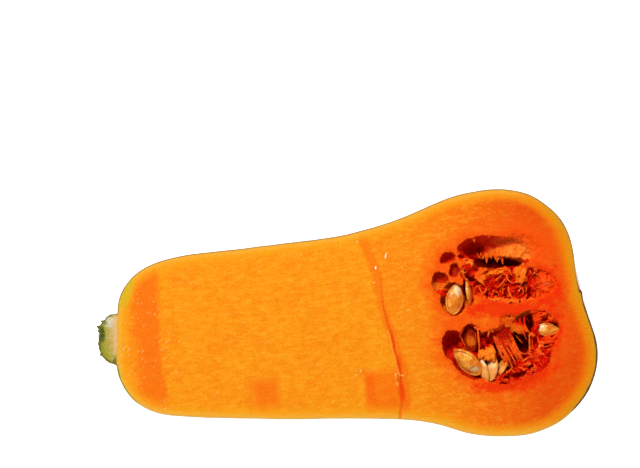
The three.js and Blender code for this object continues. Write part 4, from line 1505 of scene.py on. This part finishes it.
def upper_pulp():
    """A ragged bed with a torn lump by the neck, flaps in its middle and wet knobs at its far end."""
    draw = random.Random(UPPER_DRAWS)
    sheet = [
        ((184.5, 7.0, -13.0), (20.5, 9.0, 7.0), -4),  # bed
        ((175.0, 11.0, -6.0), (7.4, 4.0, 2.8)),
        ((175.0, 4.0, -5.6), (6.4, 4.6, 3.0)),
        ((183.0, 9.6, -5.6), (5.0, 5.4, 3.0)),
        ((185.4, 3.0, -5.4), (5.6, 4.6, 3.0)),
        ((193.2, 10.6, -5.2), (3.2, 5.2, 2.8), 10),
        ((195.0, 4.0, -3.9), (5.0, 5.8, 2.7)),
        ((200.4, 7.2, -2.7), (4.8, 6.0, 2.3), 10),
        ((196.8, 14.2, -1.7), (3.2, 1.5, 1.7), -20),
        ((201.6, 11.2, -1.7), (2.6, 1.5, 1.7), -52),
        ((188.0, -0.2, -3.6), (5.2, 2.2, 2.8), -4),
        ((177.6, -0.2, -3.6), (6.6, 2.0, 2.8), -4),
        ((169.0, 3.4, -6.2), (4.2, 4.6, 2.8)),
        ((165.6, 13.4, -6.6), (2.6, 3.0, 3.6)),
        ((163.6, 17.4, -5.0), (3.6, 3.4, 4.0)),
        ((161.2, 14.6, -5.6), (1.0, 4.0, 4.0), 14),
        ((161.4, 18.8, -2.6), (1.8, 2.6, 2.4), 10),
        ((158.6, 11.2, -5.4), (2.4, 2.6, 3.6)),
    ]
    flaps = [
        ((169.8, 11.6, -2.4), (3.7, 2.5, 1.4), -40, -52),
        ((171.0, 8.8, -2.7), (1.5, 2.7, 1.4), 20, -60),
        ((174.4, 12.8, -2.6), (4.2, 1.9, 1.4), 4, -16),
        ((178.8, 14.0, -2.2), (2.6, 1.1, 1.3), 4, 6),
        ((187.8, 12.2, -2.3), (3.6, 2.5, 1.4), 0, 70),
        ((187.6, 9.6, -2.5), (3.2, 2.1, 1.4), 0, 80),
        ((163.4, 17.8, -1.9), (3.3, 2.8, 1.8), 0, 30),  # torn lump
        ((165.2, 18.8, -2.0), (1.8, 2.4, 1.6), 0, 100),
        ((162.0, 16.8, -2.0), (1.7, 2.7, 1.6), 0, 80),
        ((150.8, 6.4, -1.8), (3.0, 1.9, 0.9), 14, 10),  # film beside the large seed
        ((169.4, 2.0, -2.4), (1.8, 2.2, 1.5), 0, 80),
        ((176.0, 0.4, -1.8), (4.6, 1.1, 1.3), 0, 0),
        ((175.4, 8.4, -3.2), (3.4, 2.2, 1.3), 30, 60),
        ((182.0, 12.4, -3.0), (2.0, 2.6, 1.3), 0, -60),
    ]
    gaps = [
        ((166.4, 10.2, -6.0), (3.2, 1.4, 7.0), -42),
        ((167.0, 5.9, -5.0), (1.3, 1.6, 4.4)),
        ((171.7, 3.2, -3.0), (0.7, 1.9, 3.6)),
        ((180.5, 2.8, -2.6), (0.7, 3.0, 3.0), 2),
        ((191.2, 2.4, -2.6), (0.8, 3.0, 3.2), -4),
        ((190.0, 0.4, -2.4), (0.6, 1.0, 3.6)),
        ((179.0, 9.2, -2.6), (0.9, 1.2, 2.6), 24),
        ((183.1, 9.9, -2.6), (0.9, 1.4, 2.6)),
        ((181.6, 8.4, -3.2), (0.5, 0.7, 3.0)),
        ((184.0, 13.8, -3.6), (0.5, 1.3, 4.0)),
        ((186.0, 9.9, -2.4), (0.35, 1.2, 2.2), -14),
        ((187.2, 10.1, -2.0), (0.28, 0.8, 1.8), -8),
        ((174.0, 12.2, -2.4), (0.8, 0.5, 2.4)),
        ((172.9, 14.4, -2.4), (1.0, 0.4, 2.4), -20),
        ((170.9, 6.9, -3.2), (1.0, 0.5, 3.2), -40),
        ((175.9, 3.2, -3.4), (0.6, 1.3, 3.4), -20),
        ((182.4, -1.5, -2.0), (1.0, 0.6, 3.4)),
        ((186.4, -1.0, -2.4), (0.7, 1.1, 4.0)),
        ((194.4, 10.2, -3.0), (0.6, 2.4, 3.0), -12),
        ((158.0, 11.0, -1.6), (1.0, 0.5, 2.0)),
        ((150.4, 5.8, -2.0), (0.5, 0.5, 3.0)),
        ((152.5, 6.5, -2.0), (0.75, 0.7, 3.0)),
        ((164.0, 19.9, -1.0), (0.8, 0.35, 1.6), 10),
        ((162.4, 15.4, -1.2), (0.4, 0.9, 2.0), 24),
    ]
    sheet += rim_lumps(draw, UPPER_RIM, 2.0)
    strands = [traced(draw, *strand) for strand in UPPER_STRANDS]
    for row in UPPER_TANGLES:
        strands += tangle(draw, *row)
    for row in UPPER_PITS:
        gaps += pits(draw, *row)
    drops = [((x, y, -0.35), (half, half, half * 0.9), 0) for x, y, half in UPPER_DROPS]
    make_pulp("stringy_upper_pulp", "pulp_upper", sheet, flaps, strands, gaps, drops)


# The same for the lower cavity.
LOWER_STRANDS = [
    (0.4, 0.42, (160.2, -9.8), (158.8, -11.6), (157.6, -13.2), (157.1, -14.8)),
    (1.0, 0.26, (157.4, -13.4), (158.2, -16.0), (159.0, -18.6), (160.4, -20.8)),
    (
        *(0.6, 0.38, (155.0, -11.4), (157.0, -9.6), (160.0, -8.5)),
        *((163.6, -8.4), (166.2, -9.6), (167.6, -11.0)),
    ),
    (1.2, 0.22, (161.4, -10.2), (162.0, -12.6), (160.9, -15.4), (160.6, -18.2), (161.8, -21.4)),
    (0.9, 0.46, (165.4, -10.4), (166.0, -13.0), (165.5, -16.4), (166.2, -19.6), (165.2, -22.4)),
    (1.4, 0.24, (164.4, -11.4), (164.9, -14.4), (164.4, -18.0), (163.0, -21.6)),
    (0.7, 0.55, (172.4, -11.6), (170.9, -12.6), (170.8, -14.4), (170.2, -16.0)),
    (0.7, 0.40, (174.0, -11.4), (173.4, -13.4)),
    (0.5, 0.34, (175.2, -9.2), (176.2, -11.0), (176.6, -13.6)),
    (0.3, 0.34, (173.6, -8.4), (173.2, -10.0), (172.6, -11.2)),
    (1.0, 0.50, (172.8, -15.6), (173.4, -18.0), (174.1, -20.6), (174.8, -23.4), (176.6, -27.6)),
    (1.4, 0.44, (173.8, -16.4), (174.8, -19.0), (175.8, -22.0), (177.4, -25.0), (178.8, -28.6)),
    (1.0, 0.62, (175.4, -18.4), (176.4, -21.4), (177.8, -24.0), (179.0, -27.0), (179.9, -30.6)),
    (0.8, 0.60, (177.2, -17.4), (178.0, -20.6), (179.4, -24.0), (181.0, -27.0), (181.8, -30.2)),
    (1.0, 0.44, (178.2, -14.8), (179.0, -17.8), (179.9, -21.0), (181.8, -24.6), (183.4, -28.8)),
    (1.0, 0.30, (179.6, -15.4), (181.0, -17.6), (181.8, -20.0), (182.2, -22.8)),
    (1.2, 0.44, (180.8, -21.6), (182.4, -24.0), (183.8, -26.0), (185.4, -29.2)),
    (2.0, 0.36, (175.4, -24.2), (176.8, -26.0), (178.0, -28.8), (179.4, -31.4)),
    (1.6, 0.36, (176.6, -15.0), (177.6, -18.0), (178.8, -21.4), (180.2, -24.4)),
    (2.0, 0.34, (182.0, -22.6), (183.0, -25.4), (183.8, -28.4)),
    (1.8, 0.36, (183.8, -23.4), (184.8, -25.0), (186.2, -25.9), (188.0, -24.9)),
    (0.8, 0.52, (185.0, -28.9), (186.6, -27.3), (188.4, -26.7), (190.0, -27.4)),
    (0.3, 0.36, (182.8, -16.2), (184.2, -18.4), (185.8, -20.5)),
    (0.8, 0.34, (184.0, -15.4), (184.6, -17.4)),
    (0.7, 0.34, (184.8, -12.2), (186.5, -14.4), (187.1, -16.4), (187.9, -19.2)),
    (0.6, 0.36, (187.2, -10.8), (188.3, -13.4), (189.0, -15.4), (190.4, -17.6)),
    (0.9, 0.28, (186.4, -11.4), (187.4, -13.6), (188.2, -16.0)),
    (1.4, 0.26, (188.2, -8.0), (189.0, -10.0), (189.9, -11.2)),
    (0.4, 0.34, (187.8, -7.6), (190.0, -7.1), (191.8, -5.8)),
    (0.8, 0.52, (189.3, -15.8), (189.1, -18.6), (189.0, -21.0), (188.9, -23.4), (188.2, -26.0)),
    (0.8, 0.40, (189.8, -15.8), (190.8, -16.8), (191.2, -18.2)),
    (0.8, 0.50, (191.8, -7.4), (192.4, -10.4), (192.7, -13.6)),
    (0.4, 0.50, (191.8, -9.6), (194.2, -8.6), (197.0, -8.4), (198.2, -7.4), (198.6, -5.8)),
    (0.3, 0.34, (196.0, -5.8), (196.3, -7.2), (196.2, -9.0)),
    (0.2, 0.34, (193.0, -5.6), (194.8, -5.2), (196.6, -5.6)),
    (0.4, 0.36, (194.0, -11.2), (195.0, -9.6), (195.6, -8.4)),
    (0.1, 0.34, (200.4, -6.6), (200.2, -8.2), (201.4, -9.4)),
    (0.2, 0.36, (198.6, -11.4), (200.4, -10.6), (202.6, -11.0)),
    (0.2, 0.42, (196.4, -11.0), (197.6, -12.2), (198.4, -12.9)),
    (0.7, 0.44, (194.9, -19.0), (194.5, -20.8), (196.4, -21.2), (198.6, -21.1), (199.6, -19.6)),
    (0.6, 0.44, (194.0, -22.4), (196.0, -23.2), (198.2, -22.9), (200.0, -21.2)),
    (0.3, 0.44, (203.4, -16.4), (201.6, -18.3), (200.2, -19.6), (199.4, -21.6)),
    (0.8, 0.34, (193.7, -17.2), (193.3, -19.2)),
    (0.9, 0.34, (196.3, -18.2), (196.7, -20.2)),
    (0.7, 0.42, (175.8, -33.9), (178.0, -32.9), (179.4, -31.9), (180.0, -30.8)),
    (0.9, 0.34, (179.2, -27.6), (179.8, -29.4), (180.6, -32.0)),
    (0.7, 0.42, (173.0, -36.4), (174.0, -36.9), (175.2, -36.7)),
    (0.6, 0.34, (170.8, -36.6), (171.8, -36.4), (172.6, -37.2)),
    (0.0, 0.38, (172.0, -39.2), (173.4, -38.6), (175.0, -38.6)),
    (0.5, 0.36, (179.8, -35.8), (179.4, -37.2), (178.4, -38.2)),
    (0.2, 0.38, (184.2, -36.8), (183.7, -38.2), (183.0, -39.4)),
    (0.7, 0.42, (182.2, -30.6), (184.0, -31.6), (185.6, -32.9)),
    (0.8, 0.36, (184.6, -29.8), (186.2, -30.4), (188.2, -30.2)),
    (0.1, 0.34, (195.0, -25.4), (195.8, -27.4), (195.4, -29.4)),
    (0.0, 0.34, (198.2, -26.2), (197.4, -28.0), (196.2, -29.8)),
    (0.1, 0.34, (191.4, -31.4), (190.8, -33.0), (190.4, -34.8)),
    (0.0, 0.34, (190.0, -34.6), (189.4, -36.0), (188.8, -37.4)),
    (0.1, 0.36, (192.8, -30.0), (194.2, -31.0), (194.6, -32.4)),
    (0.0, 0.30, (199.0, -22.6), (198.4, -24.2), (198.8, -25.6)),
    (0.0, 0.30, (193.8, -32.8), (193.6, -34.4)),
    (0.1, 0.30, (186.8, -37.6), (186.8, -39.2)),
    (0.6, 0.36, (156.2, -29.6), (157.6, -31.6), (160.0, -33.2), (163.6, -34.6)),
]
# Paths of the tissue that lies against the wall, and half the size of its lumps.
LOWER_RIMS = [
    (
        [
            (204.6, -15.2),
            (202.8, -21),
            (199.6, -26.4),
            (194.6, -32.4),
            (188, -36.8),
            (180, -38.4),
            (171.6, -37.2),
        ],
        2.0,
    ),
    ([(192.6, -5.8), (197.4, -5.6), (202, -7.6), (204.4, -11.6)], 1.8),
    ([(165.8, -10.4), (170, -10.4), (177, -11.0)], 2.0),
]
# Fibres side by side: the line they start on and the line they end on, how many they are, how far they
# arch up and wander, their radius, and how many points each has.
LOWER_FANS = [
    (
        ((179.0, -8.2, -1.8), (188.4, -8.0, -1.6)),  # the membrane
        ((181.4, -15.4, -2.4), (188.6, -15.4, -1.4)),
        *(9, 0.1, 0.35, 0.3, 6),
    ),
    (
        ((173.2, -14.4, -3.0), (180.2, -14.0, -2.6)),  # the bundle
        ((177.2, -30.4, -3.2), (186.6, -28.4, -2.8)),
        *(14, 1.3, 0.5, 0.3, 7),
    ),
    (
        ((166.2, -22.0, -1.6), (172.6, -22.0, -1.2)),  # the tuft
        ((165.8, -25.4, -1.8), (172.4, -27.0, -1.8)),
        *(6, 0.6, 0.4, 0.4, 5),
    ),
]
LOWER_TANGLES = [
    ((197.6, -8.2), (6.4, 3.4), -12, 12, 2.6, 10, (0.2, 1.6), 0.28, 60),
    ((192.4, -26.8), (6.0, 6.4), 40, 18, 2.6, 50, (0.6, 2.0), 0.3, 60),
    ((181, -35), (10, 3.2), 6, 16, 2.4, 30, (0.6, 2.0), 0.3, 60),
    ((171.0, -10.4), (5.6, 2.2), -8, 10, 2.4, 80, (0.2, 1.6), 0.32, 50),
]
LOWER_PITS = [
    ((181, -35.2), (9.6, 3.0), 6, 14, 0.5, 1.8),
    ((194.0, -26.6), (6.0, 6.4), 40, 12, 0.5, 1.2),
]
# A line of short wet ends along the lower rim, and the middle that they point away from.
LOWER_FRINGE = [
    (199.6, -21.0),
    (197.8, -25.6),
    (195.2, -30.0),
    (191.4, -33.8),
    (187.8, -37.2),
    (182.0, -39.2),
    (174.6, -38.8),
]
FRINGE_MIDDLE = (180, -20)
LOWER_DROPS = [
    (173.2, -34.6, 0.5), (173.4, -32.6, 0.5), (178.9, -37.9, 0.45), (185.4, -32.7, 0.6),
    (182.8, -33.1, 0.45), (180.8, -33.1, 0.45), (187.0, -29.6, 0.5), (188.1, -30.3, 0.55),
    (191.6, -26.0, 0.5), (194.4, -31.2, 0.55), (174.8, -39.6, 0.45), (186.8, -38.7, 0.4),
    (179.8, -31.2, 0.5), (190.7, -34.5, 0.4), (189.4, -37.4, 0.4), (192.4, -29.0, 0.45),
    (189.6, -32.0, 0.5), (186.0, -35.2, 0.45), (176.6, -36.2, 0.4), (196.8, -25.0, 0.4),
    (175.4, -34.2, 0.4), (190.6, -28.6, 0.4), (183.8, -35.6, 0.4), (187.6, -33.6, 0.45),
    (181.4, -38.9, 0.4),
]


def lower_pulp():
    """A bundle of fibres that slants across the cavity, a membrane over it and a tuft by the seeds."""
    draw = random.Random(LOWER_DRAWS)
    sheet = [
        ((177.0, -23.5, -15.5), (17.5, 12.5, 5.0)),  # bed
        ((162.6, -17.0, -10.4), (7.0, 8.4, 3.8)),
        ((171.0, -9.6, -3.6), (7.2, 2.8, 3.2), -4),
        ((177.4, -13.0, -4.8), (4.6, 5.6, 3.4), 30),
        ((178.6, -22.0, -7.4), (4.4, 9.6, 3.4), 28),  # under the bundle
        ((169.4, -17.4, -8.4), (5.0, 5.6, 3.2), 10),
        ((192.0, -20.0, -5.0), (2.8, 5.4, 3.0), -4),
        ((192.0, -15.6, -3.6), (2.2, 3.0, 2.8)),
        ((162.4, -24.2, -7.0), (4.0, 2.0, 5.0), -30),
        ((193.4, -26.4, -4.4), (6.4, 6.6, 3.4), 40),
        ((199.0, -21.4, -3.8), (5.0, 4.8, 3.0)),
        ((187.6, -31.4, -4.8), (6.0, 5.4, 3.4), 20),
        ((179.4, -35.4, -5.0), (10.4, 4.2, 3.4), 5),
        ((198.4, -8.4, -4.2), (6.8, 4.2, 3.0), -12),
        ((193.0, -11.4, -4.4), (1.6, 5.0, 3.6)),
    ]
    flaps = [
        ((166.6, -10.8, -1.9), (1.9, 1.6, 1.6), -10, 40),
        ((173.8, -11.4, -1.5), (3.8, 2.2, 1.5), 0, 80),
        ((169.4, -10.6, -1.6), (3.4, 1.5, 1.4), 0, 70),
        ((185.2, -13.2, -2.4), (3.8, 2.6, 1.0), -36, -70),  # lower edge of the membrane
        ((167.4, -24.0, -2.6), (2.9, 2.2, 1.9), -10, 80),  # torn tuft
        ((169.4, -22.4, -2.4), (1.3, 1.4, 1.4), 0, 80),
        ((169.6, -25.0, -2.6), (2.0, 1.8, 1.6), 0, 80),
        ((171.2, -23.2, -2.6), (1.7, 2.8, 1.9), 0, -80),
        ((171.8, -26.0, -3.2), (1.2, 2.4, 1.6), -6, -80),
        ((177.0, -15.4, -5.4), (4.0, 4.6, 2.6), 30, -68),  # the bundle's body
        ((179.4, -24.0, -6.5), (3.2, 5.8, 2.2), 26, -66),
        ((193.8, -9.8, -2.2), (2.4, 2.0, 1.5), 30, 20),
        ((201.6, -9.4, -1.6), (2.6, 2.6, 1.4), 0, 60),
        ((192.4, -20.0, -3.6), (2.4, 4.6, 1.6), 0, 84),
        ((196.6, -21.0, -2.2), (3.0, 2.4, 1.4), 10, 20),
    ]
    gaps = [
        ((167.8, -14.6, -3.6), (2.0, 2.4, 4.0)),
        ((170.4, -18.6, -5.0), (1.0, 1.4, 3.4), 15),
        ((169.2, -21.2, -6.0), (1.0, 0.5, 5.0)),
        ((173.6, -22.0, -6.0), (0.6, 3.4, 7.0), 16),
        ((174.8, -26.8, -6.0), (1.0, 2.4, 7.0), 4),
        ((173.9, -30.4, -6.0), (0.7, 2.6, 6.0), -14),
        ((177.6, -31.2, -5.0), (2.0, 0.9, 6.0), 30),
        ((170.6, -35.6, -4.0), (0.9, 1.8, 5.0), -20),
        ((176.9, -25.7, -3.0), (0.4, 0.9, 3.0), 24),
        ((180.0, -26.4, -2.8), (0.5, 2.2, 2.2), 22),
        ((182.3, -26.4, -2.8), (0.45, 2.4, 2.2), 22),
        ((185.7, -21.6, -9.0), (2.9, 3.9, 11.0), 6),
        ((186.2, -26.6, -3.0), (0.9, 1.0, 3.4)),
        ((190.0, -9.6, -6.0), (1.5, 3.4, 8.0), -6),
        ((190.2, -5.6, -2.0), (1.8, 0.6, 2.6), 22),
        ((167.6, -25.4, -1.2), (0.85, 0.7, 2.6)),
        ((197.0, -10.2, -2.4), (1.6, 1.2, 3.4)),
        ((196.4, -6.4, -1.4), (1.7, 0.7, 2.6), 10),
        ((199.4, -8.9, -1.4), (1.3, 0.6, 2.4), -20),
        ((181.0, -7.1, -1.0), (0.8, 0.6, 1.8)),
        ((183.5, -9.7, -1.4), (0.45, 0.6, 2.0)),
        ((167.4, -9.2, -1.4), (0.9, 0.6, 2.4), -20),
        ((197.2, -22.1, -2.2), (1.9, 0.5, 2.2)),
        ((199.6, -18.4, -2.4), (1.6, 0.5, 2.4), 40),
        ((191.8, -21.0, -2.8), (1.4, 3.0, 2.8)),
        ((177.6, -35.2, -2.6), (2.4, 1.0, 2.4)),
        ((183.2, -34.6, -3.0), (3.4, 1.4, 3.4), 6),
        ((188.6, -31.4, -2.6), (1.5, 0.9, 3.0), 30),
        ((175.4, -38.0, -1.6), (2.6, 0.5, 1.8)),
    ]
    for path, half in LOWER_RIMS:
        sheet += rim_lumps(draw, path, half)
    strands = [traced(draw, *strand) for strand in LOWER_STRANDS]
    for row in LOWER_FANS:
        strands += fan(draw, *row)
    for row in LOWER_TANGLES:
        strands += tangle(draw, *row)
    for (x1, y1), (x2, y2) in zip(LOWER_FRINGE, LOWER_FRINGE[1:]):
        for _ in range(4):
            share = draw.random()
            foot = Vector((x1 + (x2 - x1) * share, y1 + (y2 - y1) * share, -0.5))
            out = (foot - Vector((*FRINGE_MIDDLE, -0.5))).normalized() * draw.uniform(0.4, 1.3)
            points = [foot - out * 1.2, foot + Vector((0, 0, 0.7)), foot + out + Vector((0, 0, 0.1))]
            strands.append(wavy(draw, points, 0.3, 0.3))
    drops = []
    for x, y, half in LOWER_DROPS:
        drops.append(((x, y, -1.0), (half * 1.2, half, half), draw.uniform(0, 180)))
    for _ in range(26):  # crumbs on the tuft
        turn, spread = draw.uniform(0, 6.28), math.sqrt(draw.random())
        x, y = 169.2 + 3.8 * spread * math.cos(turn), -23.6 + 2.6 * spread * math.sin(turn)
        drops.append(((x, y, -0.8 - draw.uniform(0, 0.4)), (0.6, 0.6, 0.6), 0))
    for row in LOWER_PITS:
        gaps += pits(draw, *row)
    make_pulp("stringy_lower_pulp", "pulp_lower", sheet, flaps, strands, gaps, drops)


upper_pulp()
lower_pulp()

# ---------------------------------------------------------------- stem

STEM_CENTRE_Y = -0.8
STEM_TURN = -0.1034  # radians that its axis leans from the squash's, in the cut
STEM_ANGLES = 5
TROUGH_DEPTH = 0.7
TROUGH_HALF_WIDTH = 0.3  # radians round the stem
UNDER_THE_CUT = 0.06
# Along the stem and its radius there, outwards from the flesh.
STEM_RINGS = [
    (2.6, 11.9),
    (0.6, 12.0),
    (-1.5, 12.1),
    (-3.4, 11.5),
    (-5.0, 10.1),
    (-6.4, 8.4),
    (-7.6, 6.2),
    (-8.3, 3.6),
    (-8.1, 1.4),
]
# Broken fibre ends on its outer face: foot, tip and radius.
STEM_SPLINTERS = [
    ((-6.0, 4.6, -0.7), (-9.3, 5.2, -0.9), 1.1),
    ((-6.0, 3.4, -2.2), (-9.0, 3.2, -2.6), 0.9),
    ((-6.6, -2.6, -1.0), (-8.9, -3.0, -1.2), 0.8),
    ((-5.0, 7.4, -2.0), (-7.6, 7.8, -2.4), 0.9),
    ((-5.0, -7.0, -3.0), (-7.6, -7.8, -3.4), 0.9),
    ((-6.4, 0.6, -6.0), (-9.0, 0.8, -6.6), 0.9),
]


def whole_stem():
    """A corky five-angled knob, ring by ring outwards from the flesh."""
    middle = Vector((0, STEM_CENTRE_Y, 0))
    bpy.ops.mesh.primitive_circle_add(
        vertices=40,
        radius=STEM_RINGS[0][1] * MM,
        location=(middle + Vector((STEM_RINGS[0][0], 0, 0))) * MM,
        rotation=(0, math.pi / 2, 0),
    )
    stem = apply_place(named("whole_stem"))
    mode("EDIT")
    bpy.ops.mesh.select_all(action="SELECT")
    for (x1, r1), (x2, r2) in zip(STEM_RINGS, STEM_RINGS[1:]):
        centre = (middle + Vector((x2, 0, 0))) * MM
        bpy.ops.mesh.extrude_edges_move(TRANSFORM_OT_translate={"value": ((x2 - x1) * MM, 0, 0)})
        bpy.ops.transform.resize(value=(1, r2 / r1, r2 / r1), center_override=centre)
    mode("OBJECT")
    # Five angles run along it, and the troughs between them are pressed in.
    for index in range(STEM_ANGLES):
        trough = 2 * math.pi * (index + 0.5) / STEM_ANGLES
        away = Vector((0, math.cos(trough), math.sin(trough)))
        pick(
            stem,
            lambda x, y, z: x < 0
            and Vector((0, y - STEM_CENTRE_Y, z)).angle(away, 1) < TROUGH_HALF_WIDTH,
        )
        bpy.ops.transform.translate(value=-away * TROUGH_DEPTH * MM)
        mode("OBJECT")
    close_and_turn_out(stem)
    modify(stem, "SUBSURF", levels=2, render_levels=2)
    splinters = []
    for foot, tip, radius in STEM_SPLINTERS:
        splinters.append(([foot, Vector(foot).lerp(Vector(tip), 0.6), tip], radius))
    stem = merged("whole_stem", [stem, strands_solid("splinters", splinters)])
    remeshed(stem, 0.35)
    roughen(stem, 4.0, 1.2)
    roughen(stem, 1.2, 0.6)
    stem.data.transform(Matrix.Rotation(STEM_TURN, 4, "Z"))
    return stem


def stem_material():
    """Cut squash stem: dry cork outside, and inside pale woody fibres that run along it, tan by the
    flesh and green towards the tip, with a painted highlight near the top of its cut."""
    material, shader, node = new_material(
        "cut_corky_stem", Roughness=0.7, IOR=1.45, Specular_IOR_Level=0.15
    )
    place = cut_coordinates(node)
    along = node("SeparateXYZ", {0: place}, "X")
    across = node("SeparateXYZ", {0: place}, "Y")
    bark = node("Attribute", attribute_name="bark_depth", output="Fac")
    slim = node("VectorMath", {0: place, 1: (0.2, 1, 1)}, operation="MULTIPLY")
    streaks = node("TexNoise", {"Vector": slim, "Scale": 1 / 1.1, "Detail": 3, "Roughness": 0.6})
    blotch = node("TexNoise", {"Vector": place, "Scale": 1 / 3.0, "Detail": 3, "Roughness": 0.6})
    specks = node("TexNoise", {"Vector": place, "Scale": 1 / 0.8, "Detail": 2})
    patchy = node("Math", {0: blotch, 1: 5.0, 2: along}, operation="MULTIPLY_ADD")
    spot = partial(reach, node, place)
    colour = tinted(
        node,
        "#C8A05C",
        [
            (streaks, 0.40, 0.62, 0.5, "#D8B478"),
            (patchy, 0.6, -1.8, 0.85, "#A89C34"),
            (patchy, -2.0, -5.0, 0.8, "#7C8210"),
            (across, -3.0, -9.0, 0.6, "#949418"),
            (spot((-6.6, 2.6), (1.9, 4.4)), 1.2, 0.5, 0.9, "#2C4404"),
            # Painted highlight: a pale grey patch near the top of the cut.
            (spot((-2.6, 8.0), (3.0, 3.2)), 1.2, 0.5, 0.8, "#D0CCB0"),
            (spot((-0.6, 10.6), (2.6, 1.0)), 1.2, 0.5, 0.8, "#8C9A10"),
            (spot((-4.4, 7.4), (1.4, 1.0), 30), 1.2, 0.5, 0.7, "#5A6A10"),
            (streaks, 0.56, 0.70, 0.4, "#E0D8B8"),
            (specks, 0.56, 0.70, 0.4, "#4C5A0C"),
            (along, -2.4, 0.0, 0.7, "#E0B880"),
            (bark, 1.0, 0.1, 0.85, "#5E5A14"),
        ],
    )
    plug(colour, shader, "Base Color")
    relief = node("Math", {0: streaks, 1: 1.0, 2: specks}, operation="MULTIPLY_ADD")
    plug(node("Bump", {"Height": relief, "Distance": 0.35 * MM}), shader, "Normal")
    return material


def make_stem():
    """The stub, which the knife went through as it did through the flesh."""
    whole = whole_stem()
    stem = combine(duplicate(whole, "corky_stem_stub"), knife, "DIFFERENCE")
    store(stem.data, "bark_depth", distance_to(whole, [v.co.copy() for v in stem.data.vertices]))
    bpy.data.objects.remove(whole)
    # Its cut face lies a hair under the flesh's, so only one of them shows where the two grow together.
    stem.data.transform(Matrix.Translation((0, 0, -UNDER_THE_CUT * MM)))
    lay_down(dressed(stem, stem_material()), "stem")


make_stem()

# ---------------------------------------------------------------- studio

VIEW_WIDTH = 294.4  # of the cut face, in mm
VIEW_CENTRE = (97.8, 38.7, 0)
VIEW_ROLL = math.radians(-5.5)
VIEW_DISTANCE = 2.5  # metres, as the table's and the lamp's sizes and places
SENSOR_WIDTH = 36
TABLE_SIZE = 8
SOFTBOX_SIZE = 0.22
SOFTBOX_WATTS = 17.5
SOFTBOX_PLACE = (-0.36, 0.74, 1.02)  # from the middle of the view


def studio():
    """A white table that glows, bright air, one softbox, and a camera square to the cut face."""
    scene = bpy.context.scene
    scene.view_settings.view_transform = "Standard"

    bpy.ops.mesh.primitive_plane_add(size=TABLE_SIZE, location=(0, 0, 0))
    table = named("studio_table")
    # Painted board, matt and without a highlight, that glows though it is no lamp: painted light that
    # keeps it white where the squash's shadow falls and lights the squash a little from below.
    board, *_ = new_material(
        "glowing_white_board",
        Roughness=0.9,
        Base_Color=srgb("#CBCBCA"),
        Emission_Color=srgb("#FFFFFF"),
        Emission_Strength=1.05,
    )
    dressed(table, board)

    # Air that is bright round the horizon and dim overhead, as in a white tent open at the top.
    world = bpy.data.worlds.new("studio_air")
    world.use_nodes = True
    node = partial(add_node, world.node_tree)
    height = node("SeparateXYZ", {0: node("TexCoord", output="Generated")}, "Z")
    dimming = {"Value": height, "From Min": 0.15, "From Max": 0.9, "To Min": 0.7, "To Max": 0.2}
    air = world.node_tree.nodes["Background"]
    plug(node("MapRange", dimming), air, "Strength")
    air.inputs["Color"].default_value = srgb("#FFFFFF")
    scene.world = world

    middle = CUT_TO_ROW @ (Vector(VIEW_CENTRE) * MM)
    camera_data = bpy.data.cameras.new("studio_camera")
    camera_data.lens = SENSOR_WIDTH * VIEW_DISTANCE / (VIEW_WIDTH * MM)
    camera_data.clip_end = 20
    camera = bpy.data.objects.new("studio_camera", camera_data)
    facing = Matrix.Translation(middle) @ TURN @ Matrix.Rotation(VIEW_ROLL, 4, "Z")
    camera.matrix_world = facing @ Matrix.Translation((0, 0, VIEW_DISTANCE))
    bpy.context.collection.objects.link(camera)
    scene.camera = camera

    light = bpy.data.lights.new("softbox", "AREA")
    light.size = SOFTBOX_SIZE
    light.energy = SOFTBOX_WATTS
    softbox = bpy.data.objects.new("softbox", light)
    softbox.location = middle + Vector(SOFTBOX_PLACE)
    aim = middle - softbox.location
    softbox.rotation_euler = aim.to_track_quat("-Z", "Y").to_euler()
    bpy.context.collection.objects.link(softbox)


studio()
